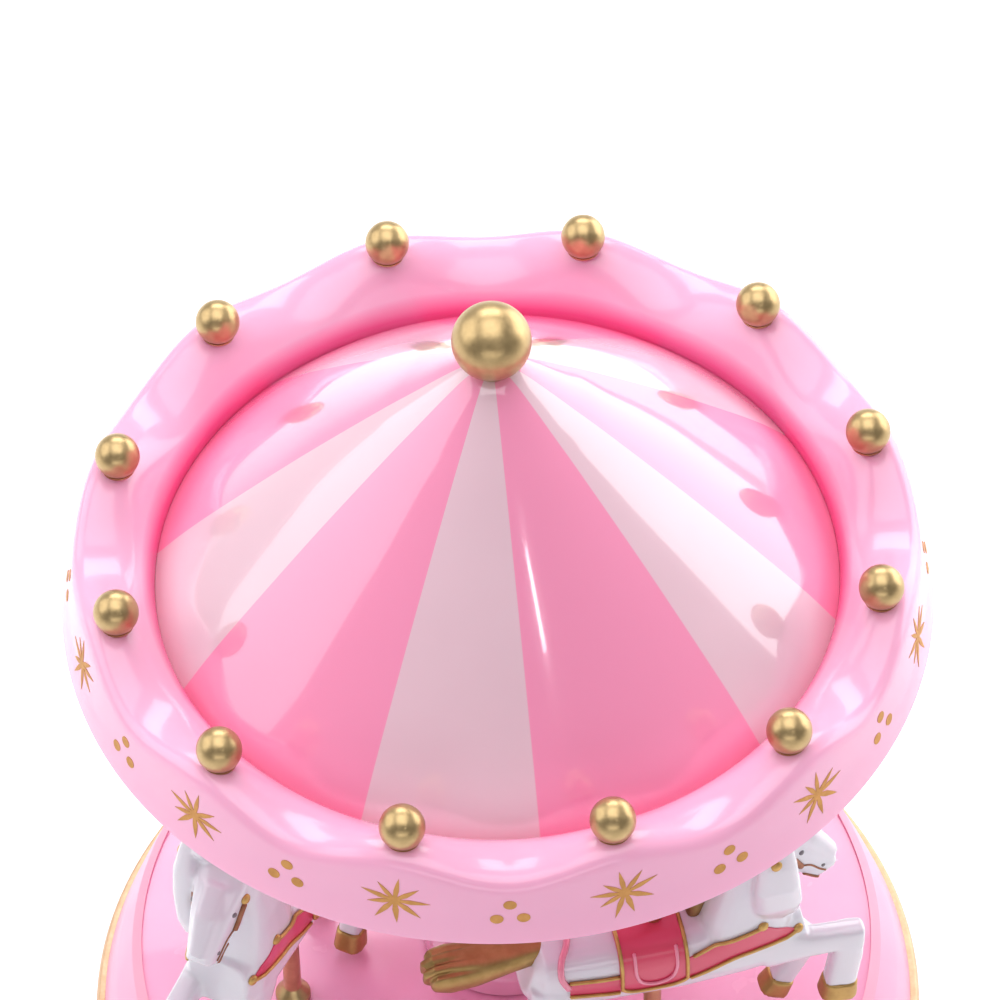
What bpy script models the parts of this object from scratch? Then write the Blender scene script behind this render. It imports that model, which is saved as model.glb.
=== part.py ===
"""Carousel music box: a turning carousel on a round base that holds a comb movement.

Units are metres, +Z up. The origin is the centre of the underside, and the carousel
turns about the Z axis. Three horses on poles ride the turntable under a scalloped
canopy; a spring barrel in the base drives it, together with the pinned cylinder.
"""

import math

import bmesh
import bpy
from mathutils import Matrix, Vector

MM = 0.001
GAP = 0.3 * MM  # between pieces that touch on the real object

# ---- driving dimensions ---------------------------------------------------------

TOTAL_HEIGHT = 170.0 * MM
BASE_RADIUS = 52.5 * MM
BEAD_RING_RADIUS = 45.8 * MM
BEAD_RING_Z = 133.6 * MM
BEAD_COUNT = 12
BEAD_FIRST_ANGLE = math.radians(15.6)
BEAD_RADIUS = 2.68 * MM
FINIAL_RADIUS = 4.57 * MM

DECK_Z = 53.0 * MM
TURNTABLE_RADIUS = 45.9 * MM
CEILING_Z = 120.9 * MM
CEILING_THICKNESS = 1.3 * MM
WALL = 1.6 * MM

# Each horse: the angle and distance of its pole about the carousel's axis, and the way it faces.
HORSE_PLACES = (
    (math.radians(-48.6), 26.8 * MM, math.radians(11.9)),
    (math.radians(74.4), 26.8 * MM, math.radians(132.4)),
    (math.radians(199.4), 28.4 * MM, math.radians(243.2)),
)
POLE_RADIUS = 1.1 * MM
POLE_LOW = 50.4 * MM
POLE_HIGH = 123.4 * MM
COLUMN_RADIUS = 10.5 * MM
COLUMN_SHAFT_RADIUS = 8.2 * MM
COLUMN_BORE = 6.4 * MM

BEDPLATE_Z = 17.6 * MM
BEDPLATE_THICKNESS = 2.0 * MM
ARBOR_RADIUS = 1.0 * MM
OUTPUT_SHAFT_RADIUS = 2.0 * MM
WINDING_ARBOR_RADIUS = 1.6 * MM
WHEEL_TEETH = 24
PINION_TEETH = 8
CROWN_PITCH_RADIUS = 10.1 * MM
CYLINDER_RADIUS = 6.5 * MM
CYLINDER_AXIS_Z = 33.3 * MM
TRAIN_PITCH = 2.2 * MM
COMB_TEETH = 18
COMB_PITCH = 1.0 * MM
COMB_LEFT_X = 13.2 * MM

SCREW_SEGMENTS = 16
RING_SEGMENTS = 40
WAVE_STEPS = 6

PINK = (0.93, 0.42, 0.62)
PALE_PINK = (0.96, 0.60, 0.76)
GOLD = (0.72, 0.52, 0.24)
WHITE = (0.90, 0.88, 0.90)
STEEL = (0.62, 0.63, 0.65)
BRASS = (0.78, 0.62, 0.30)
DARK = (0.12, 0.12, 0.13)


# ---- scene and materials --------------------------------------------------------

def clear_scene():
    for item in list(bpy.data.objects):
        bpy.data.objects.remove(item, do_unlink=True)


def make_collection(name):
    collection = bpy.data.collections.new(name)
    bpy.context.scene.collection.children.link(collection)
    return collection


def make_material(name, colour, roughness, metallic):
    material = bpy.data.materials.new(name)
    material.use_nodes = True
    shader = material.node_tree.nodes["Principled BSDF"]
    shader.inputs["Base Color"].default_value = (*colour, 1.0)
    shader.inputs["Roughness"].default_value = roughness
    shader.inputs["Metallic"].default_value = metallic
    return material


FINISHES = {
    "gloss": (0.18, 0.0),
    "satin": (0.35, 0.0),
    "gold": (0.28, 1.0),
    "metal": (0.30, 1.0),
    "matte": (0.70, 0.0),
}


def add_object(name, mesh, colour, finish, parent=None, matrix=None):
    item = bpy.data.objects.new(name, mesh)
    PARTS.objects.link(item)
    item.data.materials.append(make_material(name + "_finish", colour, *FINISHES[finish]))
    if matrix is not None:
        item.matrix_world = matrix
    if parent is not None:
        item.parent = parent
        item.matrix_parent_inverse = parent.matrix_world.inverted()
    return item


def make_tool(name, mesh, matrix=None):
    """A cutter or a piece to be joined: it is wire only and is not a part."""
    item = bpy.data.objects.new(name, mesh)
    CUTTERS.objects.link(item)
    item.hide_render = True
    item.display_type = "WIRE"
    if matrix is not None:
        item.matrix_world = matrix
    return item


def make_pivot(name, location):
    pivot = bpy.data.objects.new(name, None)
    PARTS.objects.link(pivot)
    pivot.location = location
    bpy.context.view_layer.update()
    return pivot


def combine(target, tool, operation):
    modifier = target.modifiers.new(operation.title(), "BOOLEAN")
    modifier.operation = operation
    modifier.solver = "EXACT"
    modifier.object = tool
    return modifier


# ---- shape helpers --------------------------------------------------------------

def mesh_from_bmesh(name, shape):
    mesh = bpy.data.meshes.new(name)
    shape.to_mesh(mesh)
    shape.free()
    return mesh


def soft_shade(mesh, degrees=35.0):
    mesh.shade_smooth()
    mesh.set_sharp_from_angle(angle=math.radians(degrees))
    return mesh


def turned(name, profile, colour, finish, parent=None, steps=RING_SEGMENTS, closed=False):
    """Turn a profile of (radius, z) points, listed down the outer side, about Z."""
    mesh = bpy.data.meshes.new(name)
    points = [(radius, 0.0, z) for radius, z in profile]
    edges = [(index, index + 1) for index in range(len(points) - 1)]
    if closed:
        edges.append((len(points) - 1, 0))
    mesh.from_pydata(points, edges, [])
    item = add_object(name, mesh, colour, finish, parent)
    add_screw(item, steps)
    return item


def add_screw(item, steps):
    screw = item.modifiers.new("Turn", "SCREW")
    screw.axis = "Z"
    screw.angle = 2.0 * math.pi
    screw.steps = steps
    screw.render_steps = steps
    screw.use_merge_vertices = True
    screw.merge_threshold = 0.00001
    screw.use_smooth_shade = True
    return screw


def ring_profile(inner, outer, low, high):
    return [(outer, high), (outer, low), (inner, low), (inner, high)]


def rod_mesh(name, radius, start, end, segments=SCREW_SEGMENTS):
    """A round bar between two points."""
    start = Vector(start)
    end = Vector(end)
    along = end - start
    shape = bmesh.new()
    bmesh.ops.create_cone(shape, cap_ends=True, segments=segments, radius1=radius,
                          radius2=radius, depth=along.length)
    turn = Vector((0.0, 0.0, 1.0)).rotation_difference(along.normalized()).to_matrix().to_4x4()
    bmesh.ops.transform(shape, matrix=Matrix.Translation((start + end) / 2.0) @ turn,
                        verts=shape.verts)
    return soft_shade(mesh_from_bmesh(name, shape))


def box_shape(low, high):
    shape = bmesh.new()
    bmesh.ops.create_cube(shape, size=1.0)
    size = Vector(high) - Vector(low)
    centre = (Vector(high) + Vector(low)) / 2.0
    bmesh.ops.scale(shape, vec=size, verts=shape.verts)
    bmesh.ops.translate(shape, vec=centre, verts=shape.verts)
    return shape


def box_mesh(name, low, high):
    return mesh_from_bmesh(name, box_shape(low, high))


def boxes_mesh(name, matrices_and_sizes):
    """Several separate boxes in one mesh, each centred on its matrix."""
    shape = bmesh.new()
    for matrix, size in matrices_and_sizes:
        made = bmesh.ops.create_cube(shape, size=1.0)
        bmesh.ops.scale(shape, vec=size, verts=made["verts"])
        bmesh.ops.transform(shape, matrix=matrix, verts=made["verts"])
    return mesh_from_bmesh(name, shape)


def bevel_edges(item, width, segments=2):
    bevel = item.modifiers.new("Bevel", "BEVEL")
    bevel.width = width
    bevel.segments = segments
    bevel.limit_method = "ANGLE"
    bevel.angle_limit = math.radians(40.0)
    return bevel


def plate_mesh(name, outline, thickness):
    """A flat outline in the XY plane, thickened about z = 0, as a welded mesh."""
    curve = bpy.data.curves.new(name, "CURVE")
    curve.dimensions = "2D"
    curve.fill_mode = "BOTH"
    curve.extrude = thickness / 2.0
    spline = curve.splines.new("POLY")
    spline.points.add(len(outline) - 1)
    for point, (x, y) in zip(spline.points, outline):
        point.co = (x, y, 0.0, 1.0)
    spline.use_cyclic_u = True
    holder = bpy.data.objects.new(name + "_outline", curve)
    bpy.context.scene.collection.objects.link(holder)
    graph = bpy.context.evaluated_depsgraph_get()
    mesh = bpy.data.meshes.new_from_object(holder.evaluated_get(graph))
    bpy.data.objects.remove(holder, do_unlink=True)
    shape = bmesh.new()
    shape.from_mesh(mesh)
    bmesh.ops.remove_doubles(shape, verts=shape.verts, dist=0.000001)
    bmesh.ops.recalc_face_normals(shape, faces=shape.faces)
    shape.to_mesh(mesh)
    shape.free()
    mesh.name = name
    return mesh


def gear_outline(teeth, pitch_radius, phase, addendum, dedendum, tooth_share=0.36):
    """Thin trapezoid teeth with backlash; a tooth is centred on the phase angle."""
    pitch_angle = 2.0 * math.pi / teeth
    root_half = pitch_angle * (tooth_share + 0.14) / 2.0
    tip_half = pitch_angle * (tooth_share - 0.14) / 2.0
    root = pitch_radius - dedendum
    tip = pitch_radius + addendum
    outline = []
    for tooth in range(teeth):
        middle = phase + tooth * pitch_angle
        for radius, angle in ((root, -root_half), (tip, -tip_half), (tip, tip_half), (root, root_half)):
            outline.append((radius * math.cos(middle + angle), radius * math.sin(middle + angle)))
    return outline


def around(angle, radius=0.0, z=0.0):
    return Vector((radius * math.cos(angle), radius * math.sin(angle), z))


# ---- canopy ---------------------------------------------------------------------

ROOF_EDGE_RADIUS = 40.3 * MM
ROOF_EDGE_Z = 124.1 * MM
ROOF_TOP_Z = 161.4 * MM
ROOF_TOP_WALL = 2.2 * MM
BRIM_BOTTOM_Z = 120.7 * MM
FINIAL_Z = TOTAL_HEIGHT - FINIAL_RADIUS
FINIAL_PEG_RADIUS = 1.4 * MM


def make_roof(parent):
    """A thin conical shell, a little convex, with a hole for the finial's peg."""
    outer = [
        (FINIAL_PEG_RADIUS + GAP, ROOF_TOP_Z),
        (6.0 * MM, 158.6 * MM),
        (13.7 * MM, 151.8 * MM),
        (32.1 * MM, 133.4 * MM),
        (ROOF_EDGE_RADIUS, ROOF_EDGE_Z),
    ]
    inner = [
        (ROOF_EDGE_RADIUS - ROOF_TOP_WALL, ROOF_EDGE_Z),
        (31.0 * MM, 132.2 * MM),
        (12.6 * MM, 150.4 * MM),
        (FINIAL_PEG_RADIUS + GAP, ROOF_TOP_Z - ROOF_TOP_WALL),
    ]
    return turned("canopy_roof", outer + inner, PALE_PINK, "gloss", parent, closed=True)


def brim_section(crest):
    """Closed (radius, z) section of the brim; crest is 1 under a bead and 0 in a valley."""
    def mix(valley, peak):
        return valley + (peak - valley) * crest
    outside = [
        (51.5, BRIM_BOTTOM_Z / MM),
        (50.6, 124.3),
        (mix(49.9, 49.6), mix(127.6, 130.0)),
        (mix(48.2, 48.0), mix(129.1, 131.5)),
        (mix(45.2, 45.4), mix(128.8, 131.1)),
        (41.0, 126.7),
        (40.6, 122.5),
    ]
    inside = [
        (42.4, 122.5),
        (42.6, 125.2),
        (mix(47.6, 47.4), mix(127.2, 129.4)),
        (49.4, 124.3),
        (50.0, BRIM_BOTTOM_Z / MM),
    ]
    return [(radius * MM, z * MM) for radius, z in outside + inside]


def make_brim(parent):
    """A loft of sections that rise and fall, once for each bead."""
    shape = bmesh.new()
    count = BEAD_COUNT * WAVE_STEPS
    rings = []
    for step in range(count):
        angle = BEAD_FIRST_ANGLE + 2.0 * math.pi * step / count
        crest = 0.5 + 0.5 * math.cos(2.0 * math.pi * step / WAVE_STEPS)
        ring = [shape.verts.new(around(angle, radius, z)) for radius, z in brim_section(crest)]
        rings.append(ring)
    for step in range(count):
        here = rings[step]
        beyond = rings[(step + 1) % count]
        for index in range(len(here)):
            after = (index + 1) % len(here)
            shape.faces.new((here[index], here[after], beyond[after], beyond[index]))
    bmesh.ops.recalc_face_normals(shape, faces=shape.faces)
    mesh = soft_shade(mesh_from_bmesh("canopy_brim", shape), 50.0)
    return add_object("canopy_brim", mesh, PALE_PINK, "gloss", parent)


def make_ceiling(parent):
    top = CEILING_Z + CEILING_THICKNESS
    edge = 49.6 * MM
    ceiling = turned("canopy_ceiling", [
        (0.0, top),
        (edge, top),
        (edge, CEILING_Z),
        (0.0, CEILING_Z),
    ], PALE_PINK, "satin", parent)
    for index in range(len(HORSE_PLACES)):
        foot = pole_foot(index)
        hole = rod_mesh("pole_top_hole", POLE_RADIUS + GAP, foot + Vector((0, 0, CEILING_Z - 10 * MM)),
                        foot + Vector((0, 0, CEILING_Z + 10 * MM)))
        combine(ceiling, make_tool("pole_top_hole", hole), "DIFFERENCE")
    return ceiling


def make_finial(parent):
    """A ball on a short neck, with a peg that goes down through the roof."""
    steps = 10
    neck_radius = 2.3 * MM
    neck_low = ROOF_TOP_Z + 1.5 * GAP
    peg_low = 156.0 * MM
    neck_angle = math.asin(neck_radius / FINIAL_RADIUS)
    profile = []
    for step in range(steps + 1):
        angle = (math.pi - neck_angle) * step / steps
        profile.append((FINIAL_RADIUS * math.sin(angle), FINIAL_Z + FINIAL_RADIUS * math.cos(angle)))
    profile.append((neck_radius, neck_low))
    profile.append((FINIAL_PEG_RADIUS, neck_low))
    profile.append((FINIAL_PEG_RADIUS, peg_low))
    profile.append((0.0, peg_low))
    profile[0] = (0.0, TOTAL_HEIGHT)
    return turned("finial", profile, GOLD, "gold", parent, 20)


def make_crown_bead(index, parent):
    """A small ball on a collar that stands on a crest of the brim."""
    angle = BEAD_FIRST_ANGLE + 2.0 * math.pi * index / BEAD_COUNT
    collar_z = -1.95 * MM
    collar_radius = 1.9 * MM
    ball_half_height = 1.03 * BEAD_RADIUS
    collar_angle = math.asin(collar_radius / BEAD_RADIUS)
    steps = 5
    profile = []
    for step in range(steps + 1):
        turn = (math.pi - collar_angle) * step / steps
        profile.append((BEAD_RADIUS * math.sin(turn), ball_half_height * math.cos(turn)))
    profile.append((collar_radius, collar_z))
    profile.append((0.0, collar_z))
    profile[0] = (0.0, ball_half_height)
    bead = turned("crown_bead_{:02d}".format(index + 1), profile, GOLD, "gold", None, 10)
    bead.location = around(angle, BEAD_RING_RADIUS, BEAD_RING_Z)
    bead.parent = parent
    bead.matrix_parent_inverse = parent.matrix_world.inverted()
    return bead


# ---- column, poles and turntable ------------------------------------------------

def make_column(parent):
    foot = DECK_Z + GAP
    top = CEILING_Z - GAP
    head = COLUMN_SHAFT_RADIUS + 1.0 * MM
    return turned("centre_column", [
        (head, top),
        (head, top - 2.0 * MM),
        (COLUMN_SHAFT_RADIUS, top - 8.0 * MM),
        (COLUMN_SHAFT_RADIUS, foot + 9.0 * MM),
        (COLUMN_RADIUS, foot + 3.0 * MM),
        (COLUMN_RADIUS, foot),
        (COLUMN_BORE, foot),
        (COLUMN_BORE, top),
    ], PALE_PINK, "gloss", parent, 36, closed=True)


def make_column_ring(name, z, parent):
    inner = COLUMN_SHAFT_RADIUS + GAP
    half_height = 0.9 * MM
    return turned(name, [
        (inner + 0.6 * MM, z + half_height),
        (inner + 1.3 * MM, z),
        (inner + 0.6 * MM, z - half_height),
        (inner, z - half_height),
        (inner, z + half_height),
    ], GOLD, "gold", parent, 36, closed=True)


def pole_foot(index, height=0.0):
    angle, distance, _ = HORSE_PLACES[index]
    return around(angle, distance, height)


def make_pole(index, parent):
    """A straight pole whose ends stand in the turntable and in the ceiling."""
    foot = pole_foot(index)
    mesh = rod_mesh("pole", POLE_RADIUS, foot + Vector((0, 0, POLE_LOW)),
                    foot + Vector((0, 0, POLE_HIGH)))
    return add_object("pole_{}".format(index + 1), mesh, GOLD, "gold", parent)


def make_turntable(parent):
    """The deck, with a skirt at its edge and a boss that takes the output shaft."""
    inner = TURNTABLE_RADIUS - WALL
    skirt_low = 48.6 * MM
    underside = 50.8 * MM
    boss_low = 44.0 * MM
    socket = OUTPUT_SHAFT_RADIUS + GAP
    socket_top = 49.8 * MM
    turntable = turned("turntable", [
        (0.0, DECK_Z),
        (TURNTABLE_RADIUS, DECK_Z),
        (TURNTABLE_RADIUS, skirt_low),
        (inner, skirt_low),
        (inner, underside),
        (6.0 * MM, underside),
        (5.6 * MM, boss_low),
        (socket, boss_low),
        (socket, socket_top),
        (0.0, socket_top),
    ], PINK, "gloss", parent)
    for index in range(len(HORSE_PLACES)):
        foot = pole_foot(index)
        hole = rod_mesh("pole_foot_hole", POLE_RADIUS + GAP, foot + Vector((0, 0, DECK_Z - 8 * MM)),
                        foot + Vector((0, 0, DECK_Z + 8 * MM)))
        combine(turntable, make_tool("pole_foot_hole", hole), "DIFFERENCE")
    return turntable


def make_turntable_trim(parent):
    inner = TURNTABLE_RADIUS + GAP
    high = DECK_Z + 0.4 * MM
    low = DECK_Z - 2.0 * MM
    return turned("turntable_trim", [
        (inner + 0.9 * MM, high),
        (inner + 1.2 * MM, DECK_Z - 0.5 * MM),
        (inner + 1.0 * MM, low),
        (inner, low),
        (inner, high),
    ], GOLD, "gold", parent, closed=True)


# ---- horses ---------------------------------------------------------------------

HORSE_REMESH = 0.75 * MM
HORSE_KEPT_SHARE = 0.045

# Each limb is a chain of (x, y, z, radius) balls in the horse's own frame, in
# millimetres: the pole stands at x = y = 0, +X is forward and z = 0 is the deck.
HORSE_TRUNK = [(-11.0, 0, 23.8, 4.6), (-5.0, 0, 23.9, 4.8), (2.0, 0, 23.9, 4.9), (9.0, 0, 24.3, 5.0),
               (13.5, 0, 25.2, 5.0)]
HORSE_NECK = [(11.5, 0, 28.5, 4.9), (12.2, 0, 33.5, 4.4), (12.8, 0, 38.6, 3.8)]
HORSE_HEAD = [(14.0, 0, 41.4, 3.5), (18.6, 0, 38.2, 3.0), (22.0, 0, 34.4, 2.3)]
HORSE_TAIL = [(-12.6, 0, 27.4, 1.9), (-18.0, 0, 27.2, 2.1), (-23.0, 0, 27.2, 2.7), (-25.6, 0, 27.2, 2.9)]
HORSE_FORELEG = [(14.2, -3.0, 23.2, 3.2), (19.5, -3.5, 21.6, 1.9), (24.6, -3.5, 21.3, 1.8),
                 (24.0, -3.5, 16.0, 1.7), (23.0, -3.5, 11.6, 2.0)]
HORSE_FAR_FORELEG = [(14.0, 3.0, 22.6, 3.2), (17.6, 3.5, 17.4, 2.2), (20.4, 3.5, 13.0, 1.9),
                     (18.0, 3.5, 8.6, 1.7), (15.6, 3.5, 6.2, 1.9)]
HORSE_HINDLEG = [(-12.0, -3.0, 22.6, 3.6), (-13.6, -3.4, 16.6, 2.4), (-15.2, -3.4, 11.0, 1.9),
                 (-14.0, -3.4, 6.4, 1.7), (-12.6, -3.4, 3.2, 2.0)]
HORSE_FAR_HINDLEG = [(-11.6, 3.0, 22.6, 3.6), (-9.4, 3.4, 16.0, 2.5), (-12.2, 3.4, 11.0, 1.9),
                     (-10.2, 3.4, 6.4, 1.7), (-8.8, 3.4, 3.2, 2.0)]
HORSE_EARS = [[(14.0, side * 2.4, 43.4, 1.4), (15.4, side * 3.4, 47.2, 0.8)] for side in (-1, 1)]


def add_chain(shape, chain, spacing=0.45):
    """Fill a limb with balls close enough together to read as one tapering bar."""
    for (ax, ay, az, ar), (bx, by, bz, br) in zip(chain, chain[1:]):
        start = Vector((ax, ay, az))
        end = Vector((bx, by, bz))
        count = max(2, math.ceil((end - start).length / (spacing * min(ar, br))))
        for step in range(count + 1):
            share = step / count
            centre = start.lerp(end, share)
            radius = ar + (br - ar) * share
            matrix = Matrix.Translation(centre * MM) @ Matrix.Scale(radius * MM, 4)
            bmesh.ops.create_icosphere(shape, subdivisions=1, radius=1.0, matrix=matrix)


def make_horse_mesh():
    """Balls along the limbs, fused by a voxel remesh and thinned to a light solid."""
    shape = bmesh.new()
    chains = [HORSE_TRUNK, HORSE_NECK, HORSE_HEAD, HORSE_TAIL, HORSE_FORELEG,
              HORSE_FAR_FORELEG, HORSE_HINDLEG, HORSE_FAR_HINDLEG] + HORSE_EARS
    for chain in chains:
        add_chain(shape, chain)
    source = bpy.data.objects.new("horse_source", mesh_from_bmesh("horse_source", shape))
    bpy.context.scene.collection.objects.link(source)
    remesh = source.modifiers.new("Fuse", "REMESH")
    remesh.mode = "VOXEL"
    remesh.voxel_size = HORSE_REMESH
    smooth = source.modifiers.new("Relax", "SMOOTH")
    smooth.iterations = 2
    thin = source.modifiers.new("Thin", "DECIMATE")
    thin.ratio = HORSE_KEPT_SHARE
    graph = bpy.context.evaluated_depsgraph_get()
    mesh = bpy.data.meshes.new_from_object(source.evaluated_get(graph))
    bpy.data.objects.remove(source, do_unlink=True)
    return soft_shade(mesh, 60.0)


def make_horse(index, mesh, parent):
    """A horse on its pole, turned a little outward from its direction of travel."""
    heading = HORSE_PLACES[index][2]
    place = Matrix.Translation(pole_foot(index, DECK_Z)) @ Matrix.Rotation(heading, 4, "Z")
    horse = add_object("horse_{}".format(index + 1), mesh, WHITE, "gloss", parent, place)
    bore = rod_mesh("horse_bore", POLE_RADIUS + GAP, (0, 0, -5 * MM), (0, 0, 60 * MM))
    combine(horse, make_tool("horse_bore", bore, place), "DIFFERENCE")
    return horse


# ---- base -----------------------------------------------------------------------

BASE_LIP_RADIUS = 47.9 * MM
BASE_FOOT_RADIUS = 52.2 * MM
BASE_FOOT_Z = 1.1 * MM
SEAT_INNER_RADIUS = 43.4 * MM
SEAT_OUTER_RADIUS = 47.8 * MM
COVER_Z = 13.0 * MM
COVER_TOP = COVER_Z + 2.0 * MM
COVER_SCREW_COUNT = 3
COVER_SCREW_RADIUS = 45.4 * MM
COVER_SCREW_SHANK = 1.1 * MM

# (groove radius, low z, high z) of the two grooves that hold the gold bands
RIM_GROOVE = (50.4 * MM, 38.2 * MM, 40.8 * MM)
FOOT_GROOVE = (50.2 * MM, 6.8 * MM, 9.0 * MM)


def make_base_shell():
    """A drum with a sloping shoulder, grooves for two bands and a seat for the cover."""
    rim_radius, rim_low, rim_high = RIM_GROOVE
    foot_radius, foot_low, foot_high = FOOT_GROOVE
    seat_z = COVER_TOP + GAP
    shell = turned("base_shell", [
        (BASE_LIP_RADIUS + 0.4 * MM, 52.0 * MM),
        (50.4 * MM, 47.4 * MM),
        (51.6 * MM, rim_high),
        (rim_radius, rim_high),
        (rim_radius, rim_low),
        (50.8 * MM, foot_high),
        (foot_radius, foot_high),
        (foot_radius, foot_low),
        (BASE_FOOT_RADIUS, foot_low - 0.4 * MM),
        (BASE_FOOT_RADIUS, BASE_FOOT_Z),
        (SEAT_OUTER_RADIUS, BASE_FOOT_Z),
        (SEAT_OUTER_RADIUS, seat_z),
        (SEAT_INNER_RADIUS, seat_z),
        (SEAT_INNER_RADIUS, seat_z + 1.9 * MM),
        (48.4 * MM, seat_z + 2.1 * MM),
        (48.6 * MM, 44.0 * MM),
        (BASE_LIP_RADIUS, 49.0 * MM),
    ], PALE_PINK, "gloss", None, closed=True)
    for index in range(COVER_SCREW_COUNT):
        place = cover_screw_place(index)
        hole = rod_mesh("cover_screw_hole", COVER_SCREW_SHANK + GAP, place + Vector((0, 0, COVER_TOP - MM)),
                        place + Vector((0, 0, COVER_TOP + 4 * MM)), 12)
        combine(shell, make_tool("cover_screw_hole", hole), "DIFFERENCE")
    return shell


def make_band(name, groove, outer_radius):
    groove_radius, low, high = groove
    middle = (low + high) / 2.0
    return turned(name, [
        (outer_radius - 0.5 * MM, high - GAP),
        (outer_radius, middle),
        (outer_radius - 0.5 * MM, low + GAP),
        (groove_radius + GAP, low + GAP),
        (groove_radius + GAP, high - GAP),
    ], GOLD, "gold", closed=True)


def make_foot_ring():
    profile = ring_profile(SEAT_OUTER_RADIUS + 0.1 * MM, BASE_FOOT_RADIUS - 0.4 * MM, 0.0,
                           BASE_FOOT_Z - GAP)
    return turned("foot_ring", profile, DARK, "matte", closed=True)


def cover_screw_place(index):
    return around(math.radians(90.0) + 2.0 * math.pi * index / COVER_SCREW_COUNT, COVER_SCREW_RADIUS)


# x and y of the posts that carry the bedplate
SPACER_PLACES = [(-11.0 * MM, -15.0 * MM), (-11.0 * MM, 15.0 * MM), (33.0 * MM, -15.0 * MM)]


def make_bottom_cover():
    """A disc screwed up against its seat, with a hole for the winding arbor."""
    cover = turned("bottom_cover", ring_profile(3.4 * MM, SEAT_OUTER_RADIUS - 0.5 * MM, COVER_Z, COVER_TOP),
                   PALE_PINK, "satin", closed=True)
    for index in range(COVER_SCREW_COUNT):
        place = cover_screw_place(index)
        hole = rod_mesh("cover_hole", COVER_SCREW_SHANK + GAP, place + Vector((0, 0, COVER_Z - 3 * MM)),
                        place + Vector((0, 0, COVER_TOP + 2 * MM)), 12)
        combine(cover, make_tool("cover_hole", hole), "DIFFERENCE")
    return cover


def make_screw(name, foot, head_low, head_high, tip, head_radius, shank_radius, upward):
    """A round-headed screw; upward is true when its tip is above its head."""
    if upward:
        profile = [
            (0.0, tip),
            (shank_radius, tip - shank_radius),
            (shank_radius, head_high),
            (head_radius, head_high),
            (head_radius * 0.8, head_low),
            (0.0, head_low),
        ]
    else:
        profile = [
            (0.0, head_high),
            (head_radius * 0.8, head_high),
            (head_radius, head_low),
            (shank_radius, head_low),
            (shank_radius, tip + shank_radius),
            (0.0, tip),
        ]
    screw = turned(name, profile, STEEL, "metal", None, 12)
    screw.location = foot
    return screw


def make_cover_screw(index):
    head_high = COVER_Z - GAP
    return make_screw("cover_screw_{}".format(index + 1), cover_screw_place(index), head_high - 1.4 * MM,
                      head_high, COVER_TOP + 2.0 * MM, 2.0 * MM, COVER_SCREW_SHANK, True)


# ---- movement: plates and brackets ----------------------------------------------

BEDPLATE_TOP = BEDPLATE_Z + BEDPLATE_THICKNESS
BRIDGE_X = 7.0 * MM
GOVERNOR_BRACKET_X = (29.8 * MM, 30.8 * MM)
OUTER_BRACKET_X = (37.0 * MM, 38.2 * MM)
WHEEL_PITCH_RADIUS = WHEEL_TEETH * TRAIN_PITCH / (2.0 * math.pi)
PINION_PITCH_RADIUS = PINION_TEETH * TRAIN_PITCH / (2.0 * math.pi)
TRAIN_CENTRES = WHEEL_PITCH_RADIUS + PINION_PITCH_RADIUS + 0.15 * MM
GOVERNOR_TILT = math.radians(20.0)
IDLER_Y = TRAIN_CENTRES
GOVERNOR_Y = IDLER_Y + TRAIN_CENTRES * math.cos(GOVERNOR_TILT)
GOVERNOR_Z = CYLINDER_AXIS_Z + TRAIN_CENTRES * math.sin(GOVERNOR_TILT)


def axle_hole(target, y, z):
    hole = rod_mesh("axle_hole", ARBOR_RADIUS + GAP, (0.0, y, z), (60.0 * MM, y, z))
    combine(target, make_tool("axle_hole", hole), "DIFFERENCE")


def make_spacer(index):
    x, y = SPACER_PLACES[index]
    spacer = turned("movement_spacer_{}".format(index + 1), ring_profile(
        1.2 * MM, 3.0 * MM, COVER_TOP + GAP, BEDPLATE_Z - GAP), BRASS, "metal", None, 16, closed=True)
    spacer.location = (x, y, 0.0)
    return spacer


def make_bedplate():
    corner = 3.0 * MM
    plate = add_object("bedplate", box_mesh("bedplate", (-15.5 * MM, -21.5 * MM, BEDPLATE_Z),
                                            (38.4 * MM, 26.0 * MM, BEDPLATE_TOP)), STEEL, "metal")
    bevel = bevel_edges(plate, corner, 3)
    bevel.limit_method = "WEIGHT"
    weight = plate.data.attributes.new("bevel_weight_edge", "FLOAT", "EDGE")
    for edge in plate.data.edges:
        start, end = (plate.data.vertices[index].co for index in edge.vertices)
        weight.data[edge.index].value = 1.0 if abs(start.z - end.z) > corner / 2.0 else 0.0
    hole = rod_mesh("arbor_hole", 3.0 * MM, (0, 0, 10 * MM), (0, 0, 25 * MM))
    combine(plate, make_tool("arbor_hole", hole), "DIFFERENCE")
    return plate


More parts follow.
